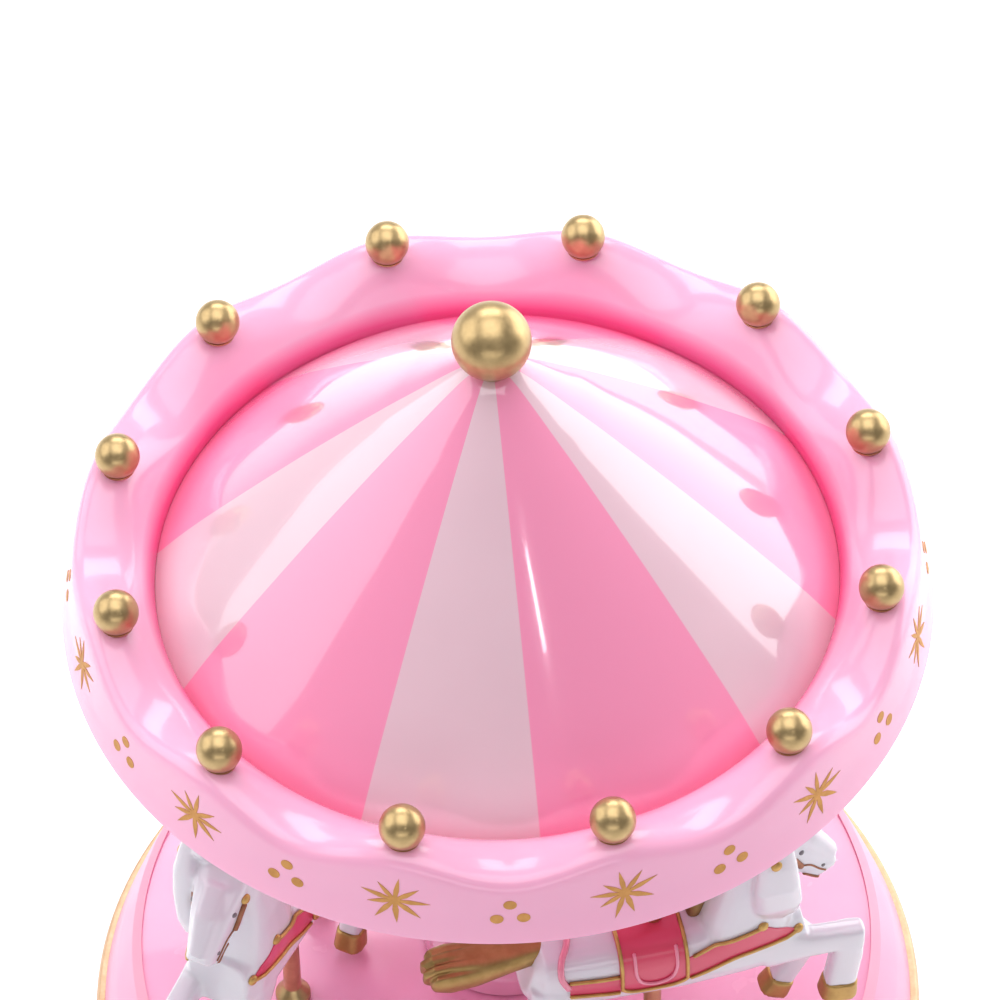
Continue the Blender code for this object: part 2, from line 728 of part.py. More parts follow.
def make_barrel_bridge():
    """A strap over the barrel: it steadies the output shaft and the cylinder's arbor."""
    low = BEDPLATE_TOP + GAP
    bar_low = 36.4 * MM
    bar_high = 38.4 * MM
    bridge = add_object("barrel_bridge", box_mesh("barrel_bridge", (-4.0 * MM, -15.6 * MM, bar_low),
                                                  (8.0 * MM, 15.6 * MM, bar_high)), BRASS, "metal")
    for side in (-1.0, 1.0):
        ends = sorted((side * 13.2 * MM, side * 15.6 * MM))
        leg = box_mesh("bridge_leg", (-4.0 * MM, ends[0], low), (4.0 * MM, ends[1], bar_high - MM))
        combine(bridge, make_tool("bridge_leg", leg), "UNION")
    tab = box_mesh("bridge_tab", (6.0 * MM, -2.6 * MM, 31.4 * MM), (8.0 * MM, 2.6 * MM, 37.4 * MM))
    combine(bridge, make_tool("bridge_tab", tab), "UNION")
    shaft_hole = rod_mesh("shaft_hole", OUTPUT_SHAFT_RADIUS + GAP, (0, 0, 30 * MM), (0, 0, 45 * MM))
    combine(bridge, make_tool("shaft_hole", shaft_hole), "DIFFERENCE")
    pivot_hole = rod_mesh("pivot_hole", ARBOR_RADIUS + GAP, (5 * MM, 0, CYLINDER_AXIS_Z),
                          (9 * MM, 0, CYLINDER_AXIS_Z))
    combine(bridge, make_tool("pivot_hole", pivot_hole), "DIFFERENCE")
    return bridge


def make_train_bracket(name, x_range, y_low, y_high, z_high, axles):
    bracket = add_object(name, box_mesh(name, (x_range[0], y_low, BEDPLATE_TOP + GAP),
                                        (x_range[1], y_high, z_high)), BRASS, "metal")
    for y, z in axles:
        axle_hole(bracket, y, z)
    return bracket


# ---- movement: barrel, cylinder, train and comb ----------------------------------

BARREL_RADIUS = 11.0 * MM
BARREL_LOW = 20.8 * MM
BARREL_TOP = 29.0 * MM
BARREL_WALL = 1.2 * MM
BARREL_BORE = BARREL_RADIUS - BARREL_WALL
CROWN_ADDENDUM = 0.75 * MM
CROWN_DEDENDUM = 0.95 * MM
CROWN_PITCH = 2.0 * math.pi * CROWN_PITCH_RADIUS / WHEEL_TEETH
CROWN_PINION_RADIUS = PINION_TEETH * CROWN_PITCH / (2.0 * math.pi)


def make_barrel(parent):
    """A drum for the mainspring, open below, with a ring of crown teeth on its top."""
    shaft_hole = OUTPUT_SHAFT_RADIUS + GAP
    barrel = turned("spring_barrel", [
        (shaft_hole, BARREL_TOP),
        (BARREL_RADIUS, BARREL_TOP),
        (BARREL_RADIUS, BARREL_LOW),
        (BARREL_BORE, BARREL_LOW),
        (BARREL_BORE, BARREL_TOP - BARREL_WALL),
        (shaft_hole, BARREL_TOP - BARREL_WALL),
    ], BRASS, "metal", parent, 32, closed=True)
    pitch_z = CYLINDER_AXIS_Z - CROWN_PINION_RADIUS - 0.1 * MM
    tip_z = pitch_z + CROWN_ADDENDUM
    root_z = BARREL_TOP - 0.5 * MM
    places = []
    for tooth in range(WHEEL_TEETH):
        angle = 2.0 * math.pi * tooth / WHEEL_TEETH
        matrix = Matrix.Rotation(angle, 4, "Z") @ Matrix.Translation(
            (CROWN_PITCH_RADIUS, 0.0, (tip_z + root_z) / 2.0))
        places.append((matrix, Vector((1.4 * MM, CROWN_PITCH * 0.30, tip_z - root_z))))
    combine(barrel, make_tool("crown_teeth", boxes_mesh("crown_teeth", places)), "UNION")
    return barrel


def make_barrel_lid(parent):
    profile = ring_profile(WINDING_ARBOR_RADIUS + 0.5 * MM, BARREL_BORE - GAP, BARREL_LOW,
                           BARREL_LOW + 0.8 * MM)
    return turned("barrel_lid", profile, BRASS, "metal", parent, 32, closed=True)


def make_mainspring(parent):
    """A flat strip wound from the arbor out to the barrel's wall."""
    turns = 3.0
    steps = 42
    inner = 2.9 * MM
    outer = BARREL_BORE - 0.7 * MM
    low = BARREL_LOW + 1.2 * MM
    high = BARREL_TOP - 1.6 * MM
    shape = bmesh.new()
    pairs = []
    for step in range(steps + 1):
        share = step / steps
        angle = 2.0 * math.pi * turns * share
        radius = inner + (outer - inner) * share
        pairs.append((shape.verts.new(around(angle, radius, low)),
                      shape.verts.new(around(angle, radius, high))))
    for (low_here, high_here), (low_next, high_next) in zip(pairs, pairs[1:]):
        shape.faces.new((low_here, low_next, high_next, high_here))
    spring = add_object("mainspring", mesh_from_bmesh("mainspring", shape), STEEL, "metal", parent)
    strip = spring.modifiers.new("Strip", "SOLIDIFY")
    strip.thickness = 0.35 * MM
    strip.offset = 0.0
    return spring


def make_output_shaft(parent):
    top = 49.4 * MM
    chamfer = 0.5 * MM
    low = 26.0 * MM
    return turned("output_shaft", [
        (0.0, top),
        (OUTPUT_SHAFT_RADIUS - chamfer, top),
        (OUTPUT_SHAFT_RADIUS, top - chamfer),
        (OUTPUT_SHAFT_RADIUS, low),
        (0.0, low),
    ], STEEL, "metal", parent, 16)


def make_winding_arbor(parent):
    top = 25.4 * MM
    low = 5.4 * MM
    return turned("winding_arbor", [
        (0.0, top),
        (WINDING_ARBOR_RADIUS, top),
        (WINDING_ARBOR_RADIUS, low),
        (0.0, low),
    ], STEEL, "metal", parent, 16)


def make_winding_key(parent):
    """A T-shaped key: a hub with a blind bore for the arbor, and a flat grip."""
    hub_radius = 3.0 * MM
    hub_low = 3.4 * MM
    hub_top = COVER_Z - MM
    bore_radius = WINDING_ARBOR_RADIUS + GAP
    bore_end = 5.0 * MM
    grip_reach = 12.0 * MM
    grip_half = 0.8 * MM
    grip_low = 2.4 * MM
    grip_high = 9.4 * MM
    key = turned("winding_key", [
        (0.0, bore_end),
        (bore_radius, bore_end),
        (bore_radius, hub_top),
        (hub_radius, hub_top),
        (hub_radius, hub_low),
        (0.0, hub_low),
    ], GOLD, "gold", parent, 20)
    for side in (-1.0, 1.0):
        ends = sorted((side * 0.8 * hub_radius, side * grip_reach))
        wing = box_mesh("key_wing", (ends[0], -grip_half, grip_low), (ends[1], grip_half, grip_high))
        tool = make_tool("key_wing", wing)
        bevel_edges(tool, 0.6 * MM, 1)
        combine(key, tool, "UNION")
    return key


def make_gear_mesh(name, teeth, pitch_radius, phase, x_low, x_high, y, z, addendum, dedendum):
    """A gear whose axis lies along X; its phase angle is measured from +Y towards +Z."""
    outline = gear_outline(teeth, pitch_radius, phase, addendum, dedendum)
    mesh = plate_mesh(name, outline, x_high - x_low)
    to_x = Matrix(((0, 0, 1, 0), (1, 0, 0, 0), (0, 1, 0, 0), (0, 0, 0, 1)))
    mesh.transform(Matrix.Translation(((x_low + x_high) / 2.0, y, z)) @ to_x)
    return mesh


TRAIN_ADDENDUM = 0.62 * MM
TRAIN_DEDENDUM = 0.85 * MM


def make_pinned_cylinder(parent):
    """A tube with pins in rows, one row for each tooth of the comb."""
    x_low = COMB_LEFT_X
    x_high = COMB_LEFT_X + COMB_TEETH * COMB_PITCH
    pin_width = 0.36 * MM
    pin_length = 0.9 * MM
    tube = turned("pinned_cylinder", ring_profile(ARBOR_RADIUS + GAP, CYLINDER_RADIUS, x_low, x_high),
                  BRASS, "metal", None, 28, closed=True)
    tube.matrix_world = Matrix.Translation((0.0, 0.0, CYLINDER_AXIS_Z)) @ Matrix.Rotation(
        math.pi / 2.0, 4, "Y")
    bpy.context.view_layer.update()
    tube.parent = parent
    tube.matrix_parent_inverse = parent.matrix_world.inverted()
    places = []
    for row in range(COMB_TEETH):
        for beat in range(1 + row % 2):
            angle = 2.0 * math.pi * ((row * 7 + beat * 17) % 36) / 36.0
            centre = Vector((COMB_LEFT_X + (row + 0.5) * COMB_PITCH, 0.0, CYLINDER_AXIS_Z))
            matrix = Matrix.Translation(centre) @ Matrix.Rotation(angle, 4, "X") @ Matrix.Translation(
                (0.0, 0.0, CYLINDER_RADIUS + 0.1 * MM))
            places.append((matrix, Vector((pin_width, pin_width, pin_length))))
    combine(tube, make_tool("cylinder_pins", boxes_mesh("cylinder_pins", places)), "UNION")
    return tube


def make_cylinder_arbor(parent):
    """The cylinder's arbor and the pinion that the barrel's crown teeth drive."""
    arbor = add_object("cylinder_arbor", rod_mesh("cylinder_arbor", ARBOR_RADIUS,
                                                  (6.4 * MM, 0, CYLINDER_AXIS_Z),
                                                  (37.9 * MM, 0, CYLINDER_AXIS_Z)), STEEL, "metal", parent)
    gap_down = -math.pi / 2.0 + math.pi / PINION_TEETH
    pinion = make_gear_mesh("crown_pinion", PINION_TEETH, CROWN_PINION_RADIUS, gap_down, 9.1 * MM,
                            11.1 * MM, 0.0, CYLINDER_AXIS_Z, CROWN_ADDENDUM, CROWN_DEDENDUM)
    combine(arbor, make_tool("crown_pinion", pinion), "UNION")
    return arbor


def make_cylinder_wheel(parent):
    mesh = make_gear_mesh("cylinder_wheel", WHEEL_TEETH, WHEEL_PITCH_RADIUS, 0.0, 32.0 * MM, 33.5 * MM,
                          0.0, CYLINDER_AXIS_Z, TRAIN_ADDENDUM, TRAIN_DEDENDUM)
    wheel = add_object("cylinder_wheel", mesh, BRASS, "metal", parent)
    axle_hole(wheel, 0.0, CYLINDER_AXIS_Z)
    return wheel


def make_idler(parent):
    """One arbor with a pinion and a wheel, between the cylinder and the governor."""
    arbor = add_object("idler_wheel", rod_mesh("idler_wheel", ARBOR_RADIUS,
                                               (29.9 * MM, IDLER_Y, CYLINDER_AXIS_Z),
                                               (38.1 * MM, IDLER_Y, CYLINDER_AXIS_Z)), BRASS, "metal", parent)
    gap_back = math.pi + math.pi / PINION_TEETH
    pinion = make_gear_mesh("idler_pinion", PINION_TEETH, PINION_PITCH_RADIUS, gap_back, 31.8 * MM,
                            33.7 * MM, IDLER_Y, CYLINDER_AXIS_Z, TRAIN_ADDENDUM, TRAIN_DEDENDUM)
    wheel = make_gear_mesh("idler_big_wheel", WHEEL_TEETH, WHEEL_PITCH_RADIUS, GOVERNOR_TILT, 34.6 * MM,
                           36.0 * MM, IDLER_Y, CYLINDER_AXIS_Z, TRAIN_ADDENDUM, TRAIN_DEDENDUM)
    combine(arbor, make_tool("idler_pinion", pinion), "UNION")
    combine(arbor, make_tool("idler_big_wheel", wheel), "UNION")
    return arbor


def make_governor(parent):
    """The fast arbor that carries the air brake, with its small pinion."""
    arbor = add_object("governor_arbor", rod_mesh("governor_arbor", ARBOR_RADIUS,
                                                  (19.6 * MM, GOVERNOR_Y, GOVERNOR_Z),
                                                  (38.1 * MM, GOVERNOR_Y, GOVERNOR_Z)), STEEL, "metal", parent)
    gap_back = GOVERNOR_TILT + math.pi + math.pi / PINION_TEETH
    pinion = make_gear_mesh("governor_pinion", PINION_TEETH, PINION_PITCH_RADIUS, gap_back, 34.4 * MM,
                            36.2 * MM, GOVERNOR_Y, GOVERNOR_Z, TRAIN_ADDENDUM, TRAIN_DEDENDUM)
    combine(arbor, make_tool("governor_pinion", pinion), "UNION")
    return arbor


def make_air_brake(parent):
    """Two flat vanes on a hub that spin in the air and hold the speed down."""
    hub = add_object("air_brake_fan", rod_mesh("air_brake_fan", 2.0 * MM, (20.4 * MM, GOVERNOR_Y, GOVERNOR_Z),
                                               (28.6 * MM, GOVERNOR_Y, GOVERNOR_Z)), DARK, "satin", parent)
    vane = box_mesh("fan_vanes", (21.0 * MM, GOVERNOR_Y - 6.0 * MM, GOVERNOR_Z - 0.3 * MM),
                    (28.0 * MM, GOVERNOR_Y + 6.0 * MM, GOVERNOR_Z + 0.3 * MM))
    combine(hub, make_tool("fan_vanes", vane), "UNION")
    axle_hole(hub, GOVERNOR_Y, GOVERNOR_Z)
    return hub


COMB_TIP_Y = -(CYLINDER_RADIUS + 0.55 * MM + 0.35 * MM)
COMB_HEEL_Y = -21.0 * MM
COMB_Z = CYLINDER_AXIS_Z
COMB_THICKNESS = 0.9 * MM
COMB_SCREWS_X = (16.0 * MM, 28.4 * MM)
COMB_SCREW_Y = -18.0 * MM
COMB_SCREW_SHANK = 0.8 * MM


def make_comb():
    """A steel plate cut into tuned teeth, longer for the low notes."""
    slot = 0.3 * MM
    outline = [(COMB_LEFT_X, COMB_HEEL_Y)]
    for tooth in range(COMB_TEETH):
        left = COMB_LEFT_X + tooth * COMB_PITCH + slot / 2.0
        right = COMB_LEFT_X + (tooth + 1) * COMB_PITCH - slot / 2.0
        root = (-14.6 + 0.16 * tooth) * MM
        outline.append((left, root))
        outline.append((left, COMB_TIP_Y))
        outline.append((right, COMB_TIP_Y))
        outline.append((right, root))
    outline.append((COMB_LEFT_X + COMB_TEETH * COMB_PITCH, COMB_HEEL_Y))
    mesh = plate_mesh("comb", outline[::-1], COMB_THICKNESS)
    mesh.transform(Matrix.Translation((0.0, 0.0, COMB_Z)))
    comb = add_object("comb", mesh, STEEL, "metal")
    for x in COMB_SCREWS_X:
        hole = rod_mesh("comb_hole", COMB_SCREW_SHANK + GAP, (x, COMB_SCREW_Y, 30 * MM),
                        (x, COMB_SCREW_Y, 36 * MM), 12)
        combine(comb, make_tool("comb_hole", hole), "DIFFERENCE")
    return comb


def make_comb_bed():
    top = COMB_Z - COMB_THICKNESS / 2.0 - GAP
    bed = add_object("comb_bed", box_mesh("comb_bed", (12.2 * MM, COMB_HEEL_Y, BEDPLATE_TOP + GAP),
                                          (32.2 * MM, -15.6 * MM, top)), BRASS, "metal")
    for x in COMB_SCREWS_X:
        hole = rod_mesh("bed_hole", COMB_SCREW_SHANK + GAP, (x, COMB_SCREW_Y, 26 * MM),
                        (x, COMB_SCREW_Y, 36 * MM), 12)
        combine(bed, make_tool("bed_hole", hole), "DIFFERENCE")
    return bed


def make_comb_screw(index):
    foot = Vector((COMB_SCREWS_X[index], COMB_SCREW_Y, 0.0))
    low = COMB_Z + COMB_THICKNESS / 2.0 + GAP
    return make_screw("comb_screw_{}".format(index + 1), foot, low, low + 1.1 * MM, 27.0 * MM, 1.7 * MM,
                      COMB_SCREW_SHANK, False)


# ---- assembly -------------------------------------------------------------------

def build_carousel():
    pivot = make_pivot("carousel_axis", (0.0, 0.0, 0.0))
    make_roof(pivot)
    make_brim(pivot)
    make_ceiling(pivot)
    make_finial(pivot)
    for index in range(BEAD_COUNT):
        make_crown_bead(index, pivot)
    make_column(pivot)
    make_column_ring("column_foot_ring", DECK_Z + 11.0 * MM, pivot)
    make_column_ring("column_top_ring", CEILING_Z - 10.0 * MM, pivot)
    horse_mesh = make_horse_mesh()
    for index in range(len(HORSE_PLACES)):
        make_pole(index, pivot)
        make_horse(index, horse_mesh, pivot)
    make_turntable(pivot)
    make_turntable_trim(pivot)
    make_barrel(pivot)
    make_barrel_lid(pivot)
    make_mainspring(pivot)
    make_output_shaft(pivot)


def build_base():
    make_base_shell()
    make_band("base_rim_band", RIM_GROOVE, BASE_RADIUS)
    make_band("base_foot_band", FOOT_GROOVE, BASE_FOOT_RADIUS - GAP)
    make_foot_ring()
    make_bottom_cover()
    for index in range(COVER_SCREW_COUNT):
        make_cover_screw(index)
    for index in range(len(SPACER_PLACES)):
        make_spacer(index)


def build_movement():
    make_bedplate()
    make_barrel_bridge()
    axles = [(IDLER_Y, CYLINDER_AXIS_Z), (GOVERNOR_Y, GOVERNOR_Z)]
    make_train_bracket("governor_bracket", GOVERNOR_BRACKET_X, 8.6 * MM, 25.4 * MM, 41.0 * MM, axles)
    make_train_bracket("outer_bracket", OUTER_BRACKET_X, -3.0 * MM, 25.4 * MM, 41.0 * MM,
                       [(0.0, CYLINDER_AXIS_Z)] + axles)
    make_comb()
    make_comb_bed()
    for index in range(len(COMB_SCREWS_X)):
        make_comb_screw(index)
    cylinder_pivot = make_pivot("cylinder_axis", (0.0, 0.0, CYLINDER_AXIS_Z))
    make_pinned_cylinder(cylinder_pivot)
    make_cylinder_arbor(cylinder_pivot)
    make_cylinder_wheel(cylinder_pivot)
    make_idler(make_pivot("idler_axis", (0.0, IDLER_Y, CYLINDER_AXIS_Z)))
    governor_pivot = make_pivot("governor_axis", (0.0, GOVERNOR_Y, GOVERNOR_Z))
    make_governor(governor_pivot)
    make_air_brake(governor_pivot)
    winder_pivot = make_pivot("winder_axis", (0.0, 0.0, 0.0))
    make_winding_arbor(winder_pivot)
    make_winding_key(winder_pivot)


clear_scene()
PARTS = make_collection("carousel_music_box")
CUTTERS = make_collection("cutters")
build_carousel()
build_base()
build_movement()
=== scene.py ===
"""The looks of the carousel music box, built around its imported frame.

Units are metres, +Z up. Sizes come from the frame's nodes; the shapes between those
sizes are given in millimetres and scaled by MM.
"""

from math import asin, atan2, copysign, cos, pi, radians, sin, tan

import bmesh
import bpy
import numpy as np
from mathutils import Matrix, Vector
from mathutils.bvhtree import BVHTree


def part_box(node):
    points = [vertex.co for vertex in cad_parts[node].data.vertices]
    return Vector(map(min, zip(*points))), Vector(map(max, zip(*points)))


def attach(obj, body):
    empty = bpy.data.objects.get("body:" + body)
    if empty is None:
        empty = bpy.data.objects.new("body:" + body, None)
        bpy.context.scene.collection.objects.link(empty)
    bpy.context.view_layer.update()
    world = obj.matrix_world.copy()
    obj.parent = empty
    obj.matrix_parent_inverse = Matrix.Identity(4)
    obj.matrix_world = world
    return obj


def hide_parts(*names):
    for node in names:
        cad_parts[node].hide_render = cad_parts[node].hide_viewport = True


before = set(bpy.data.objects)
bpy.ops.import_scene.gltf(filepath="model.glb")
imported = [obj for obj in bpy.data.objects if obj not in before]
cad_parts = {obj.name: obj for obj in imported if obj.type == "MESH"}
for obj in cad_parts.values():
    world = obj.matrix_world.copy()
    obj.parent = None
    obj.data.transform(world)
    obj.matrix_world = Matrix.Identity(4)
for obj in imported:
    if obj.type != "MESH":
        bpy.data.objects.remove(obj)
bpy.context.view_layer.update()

MM = 0.001
TAU = 2 * pi


# ---- sizes read from the frame ----

def node_centre(node):
    low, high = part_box(node)
    return (low + high) / 2


def node_radius(node):
    low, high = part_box(node)
    return (high.x - low.x) / 2


def node_low(node):
    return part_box(node)[0].z


def node_high(node):
    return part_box(node)[1].z


def node_sizes(node):
    """The lowest and highest z and the outer radius of a node, in millimetres."""
    return node_low(node) / MM, node_high(node) / MM, node_radius(node) / MM


def nodes_named(start):
    return sorted(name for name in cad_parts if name.startswith(start))


BEADS = nodes_named("crown_bead_")
HORSES = nodes_named("horse_")
POLES = nodes_named("pole_")

BEAD_CENTRES = [node_centre(name) for name in BEADS]
BEAD_RING_RADIUS = sum(centre.xy.length for centre in BEAD_CENTRES) / len(BEADS)
BEAD_RADIUS = node_radius(BEADS[0])
BEAD_TALLNESS = 1.03
BEAD_Z = node_high(BEADS[0]) - BEAD_TALLNESS * BEAD_RADIUS
BEAD_FIRST_ANGLE = atan2(BEAD_CENTRES[0].y, BEAD_CENTRES[0].x)
FINIAL_RADIUS = node_radius("finial")
FINIAL_Z = node_high("finial") - FINIAL_RADIUS
BRIM_LOW = node_low("canopy_brim")
BRIM_RADIUS = node_radius("canopy_brim")
ROOF_RADIUS = node_radius("canopy_roof")
BRIM_THROAT = ROOF_RADIUS / MM + 0.05
DECK_Z = node_high("turntable")
POLE_RADIUS = node_radius(POLES[0])
POLE_FEET = [node_centre(name) for name in POLES]


# ---- mesh tools ----

def link(piece):
    bpy.context.scene.collection.objects.link(piece)
    return piece


def smooth(mesh, degrees):
    mesh.shade_smooth()
    mesh.set_sharp_from_angle(angle=radians(degrees))


def piece_from(name, points, faces, material, degrees=40):
    mesh = bpy.data.meshes.new(name)
    mesh.from_pydata([tuple(point) for point in points], [], faces)
    shape = bmesh.new()
    shape.from_mesh(mesh)
    bmesh.ops.recalc_face_normals(shape, faces=shape.faces)
    shape.to_mesh(mesh)
    shape.free()
    smooth(mesh, degrees)
    mesh.materials.append(material)
    return link(bpy.data.objects.new(name, mesh))


def stand_for(piece, body, slot, *nodes):
    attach(piece, body)
    if nodes:
        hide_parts(*nodes)


def arc_corner(before, corner, after, radius, steps):
    """Points of a round that replaces a corner of an outline."""
    before, corner, after = (Vector(point) for point in (before, corner, after))
    into = (corner - before).normalized()
    out = (after - corner).normalized()
    turn = into.angle(out, 0)
    if turn < 0.02 or radius <= 0:
        return [corner]
    limit = 0.49 * min((corner - before).length, (after - corner).length)
    reach = min(radius * tan(turn / 2), limit)
    start = corner - into * reach
    end = corner + out * reach
    shares = [step / steps for step in range(steps + 1)]
    return [start.lerp(corner, share).lerp(corner.lerp(end, share), share) for share in shares]


def rounded(outline, radius, steps, closed=True):
    """An outline in millimetres with its corners rounded; a corner may state its own radius."""
    count = len(outline)
    points = []
    for index, entry in enumerate(outline):
        corner = entry[:2]
        own = entry[2] if len(entry) > 2 else radius
        if not closed and index in (0, count - 1):
            own = 0
        before = outline[index - 1][:2]
        after = outline[(index + 1) % count][:2]
        points.extend(arc_corner(before, corner, after, own, steps))
    return [(point.x * MM, point.y * MM) for point in points]


def capped(outline):
    """A rounded open outline in millimetres, joined to the axis at both of its ends."""
    profile = rounded(outline, 0.2, 4, closed=False)
    return [(0, outline[0][1] * MM)] + profile + [(0, outline[-1][1] * MM)]


def turned(name, profile, material, segments, closed=True, degrees=40):
    """A (radius, z) profile turned about Z; the ends of an open profile lie on the axis."""
    points = []
    rows = []
    for radius, z in profile:
        if radius < 1e-7:
            rows.append([len(points)] * segments)
            points.append((0, 0, z))
            continue
        row = []
        for step in range(segments):
            angle = TAU * step / segments
            row.append(len(points))
            points.append((radius * cos(angle), radius * sin(angle), z))
        rows.append(row)
    pairs = list(zip(rows, rows[1:]))
    if closed:
        pairs.append((rows[-1], rows[0]))
    faces = []
    for upper, lower in pairs:
        for step in range(segments):
            after = (step + 1) % segments
            corners = dict.fromkeys((upper[step], lower[step], lower[after], upper[after]))
            if len(corners) > 2:
                faces.append(list(corners))
    return piece_from(name, points, faces, material, degrees)


def smooth_line(points, steps):
    """A Catmull-Rom line through points, with the given number of steps on each stretch."""
    points = [np.array(point, float) for point in points]
    ends = [2 * points[0] - points[1]] + points + [2 * points[-1] - points[-2]]
    line = []
    for index in range(1, len(ends) - 2):
        p0, p1, p2, p3 = ends[index - 1:index + 3]
        for step in range(steps):
            t = step / steps
            line.append(0.5 * (2 * p1 + (p2 - p0) * t + (2 * p0 - 5 * p1 + 4 * p2 - p3) * t * t
                               + (3 * p1 - p0 - 3 * p2 + p3) * t ** 3))
    line.append(points[-1])
    return line


def grid_faces(rows, columns):
    """Faces of a grid of points that closes on itself in both directions."""
    faces = []
    for row in range(rows):
        below = (row + 1) % rows
        for column in range(columns):
            beside = (column + 1) % columns
            faces.append((row * columns + column, row * columns + beside,
                          below * columns + beside, below * columns + column))
    return faces


# ---- materials ----

COAT_ROUGHNESS = 0.04
SUBSURFACE_RADIUS = (1, 0.45, 0.55)
SUBSURFACE_SCALE = 1.5 * MM


def connect(owner, node, values):
    """Fill some inputs of a node: an output is linked to its input, anything else is set."""
    for name, value in values.items():
        if isinstance(value, bpy.types.NodeSocket):
            owner.node_tree.links.new(value, node.inputs[name])
        else:
            node.inputs[name].default_value = value


def add_node(owner, kind, values):
    """A new shader node in a material or in the world."""
    node = owner.node_tree.nodes.new("ShaderNode" + kind)
    connect(owner, node, values)
    return node


def shade_with(material, values):
    connect(material, material.node_tree.nodes["Principled BSDF"], values)


def new_material(name, colour, roughness, metallic=0, coat=0, subsurface=0):
    material = bpy.data.materials.new(name)
    material.use_nodes = True
    shade_with(material, {
        "Base Color": (*colour, 1), "Roughness": roughness, "Metallic": metallic,
        "Coat Weight": coat, "Coat Roughness": COAT_ROUGHNESS, "Subsurface Weight": subsurface,
        "Subsurface Radius": SUBSURFACE_RADIUS, "Subsurface Scale": SUBSURFACE_SCALE,
    })
    return material


def object_point(material):
    return add_node(material, "TexCoord", {}).outputs["Object"]


def object_axes(material):
    """The X, Y and Z of a point of the object, as outputs."""
    return add_node(material, "SeparateXYZ", {"Vector": object_point(material)}).outputs


def noise_output(material, scale_mm, detail=3, point=None):
    """Noise whose features are about scale_mm millimetres across."""
    if point is None:
        point = object_point(material)
    values = {"Scale": 1 / (scale_mm * MM), "Detail": detail, "Vector": point}
    return add_node(material, "TexNoise", values).outputs["Fac"]


def remapped(owner, source, low, high, from_low=0.3, from_high=0.7):
    remap = add_node(owner, "MapRange", {
        "Value": source, "From Min": from_low, "From Max": from_high, "To Min": low, "To Max": high})
    return remap.outputs["Result"]


def math_node(material, operation, *values):
    node = add_node(material, "Math", dict(enumerate(values)))
    node.operation = operation
    return node.outputs["Value"]


def blended(material, share, first, second):
    """A colour that runs from first to second as share runs from 0 to 1."""
    mix = material.node_tree.nodes.new("ShaderNodeMix")
    mix.data_type = "RGBA"
    connect(material, mix, {"Factor": share, "A": first, "B": second})
    return mix.outputs["Result"]


def vary_colour(material, share, first, second):
    shade_with(material, {"Base Color": blended(material, share, (*first, 1), (*second, 1))})


def vary_roughness(material, scale_mm, low, high):
    shade_with(material, {"Roughness": remapped(material, noise_output(material, scale_mm), low, high)})


def add_bump(material, source, distance_mm, strength):
    values = {"Distance": distance_mm * MM, "Strength": strength, "Height": source}
    shade_with(material, {"Normal": add_node(material, "Bump", values).outputs["Normal"]})


def plastic(name, colour, shade, roughness=(0.14, 0.20), coat=0.6, subsurface=0.12):
    """Glossy injection-moulded plastic: faint colour drift, soft gloss and a slight ripple."""
    material = new_material(name, colour, roughness[0], coat=coat, subsurface=subsurface)
    drift = remapped(material, noise_output(material, 14, 2), 0, 1)
    vary_colour(material, drift, colour, shade)
    vary_roughness(material, 6, *roughness)
    add_bump(material, noise_output(material, 5, 2), 0.02, 0.25)
    return material


def gold_paint(name, colour, shade, roughness):
    """Satin metallic paint: fine flake grain over a slow drift in tone."""
    material = new_material(name, colour, roughness[0], metallic=1)
    drift = remapped(material, noise_output(material, 1.6, 4), 0, 1)
    vary_colour(material, drift, colour, shade)
    vary_roughness(material, 0.5, *roughness)
    add_bump(material, noise_output(material, 0.12, 2), 0.006, 0.5)
    return material


STRIPE_COUNT = 5
STRIPE_CENTRE = radians(-99)
STRIPE_HALF_WIDTH = radians(15)
STRIPE_EDGE = radians(0.12)
STRIPE_WHITE = (0.82, 0.55, 0.64)
STRIPE_WHITE_SHADE = (0.80, 0.53, 0.62)
ROOF_PINK = (0.95, 0.30, 0.50)
BRIM_PALE = (0.94, 0.43, 0.64)
# The deep throat pink is painted shade and bounce light for the crease where the brim meets the roof.
THROAT_PAINTED_SHADE = (0.95, 0.10, 0.32)


def striped_roof(name):
    """Pink plastic with five printed white wedges that meet at the apex."""
    material = plastic(name, ROOF_PINK, ROOF_PINK, (0.10, 0.15), coat=1, subsurface=0.08)
    axes = object_axes(material)
    azimuth = math_node(material, "ARCTAN2", axes["Y"], axes["X"])
    period = TAU / STRIPE_COUNT
    shifted = math_node(material, "ADD", azimuth, 2 * TAU - STRIPE_CENTRE + period / 2)
    wrapped = math_node(material, "FLOORED_MODULO", shifted, period)
    from_centre = math_node(material, "ABSOLUTE", math_node(material, "SUBTRACT", wrapped, period / 2))
    mask = remapped(material, from_centre, 1, 0, STRIPE_HALF_WIDTH - STRIPE_EDGE,
                    STRIPE_HALF_WIDTH + STRIPE_EDGE)
    drift = remapped(material, noise_output(material, 12, 2), 0, 1)
    white = blended(material, drift, (*STRIPE_WHITE, 1), (*STRIPE_WHITE_SHADE, 1))
    shade_with(material, {"Base Color": blended(material, mask, (*ROOF_PINK, 1), white)})
    return material


def brim_plastic(name):
    """Pale pink plastic with painted shade: it deepens where the brim meets the roof's foot, standing in
    for the shade and pink bounce light in that crease.
    """
    material = plastic(name, BRIM_PALE, BRIM_PALE, (0.18, 0.25), coat=0.4)
    axes = object_axes(material)
    across = math_node(material, "POWER", axes["X"], 2)
    along = math_node(material, "POWER", axes["Y"], 2)
    radius = math_node(material, "SQRT", math_node(material, "ADD", across, along))
    # Painted shade: the pink deepens towards the roof's foot, standing in for shade and bounce light in the
    # crease.
    throat_painted_shade = remapped(material, radius, 1, 0, ROOF_RADIUS + 0.2 * MM, ROOF_RADIUS + 1.5 * MM)
    vary_colour(material, throat_painted_shade, BRIM_PALE, THROAT_PAINTED_SHADE)
    return material


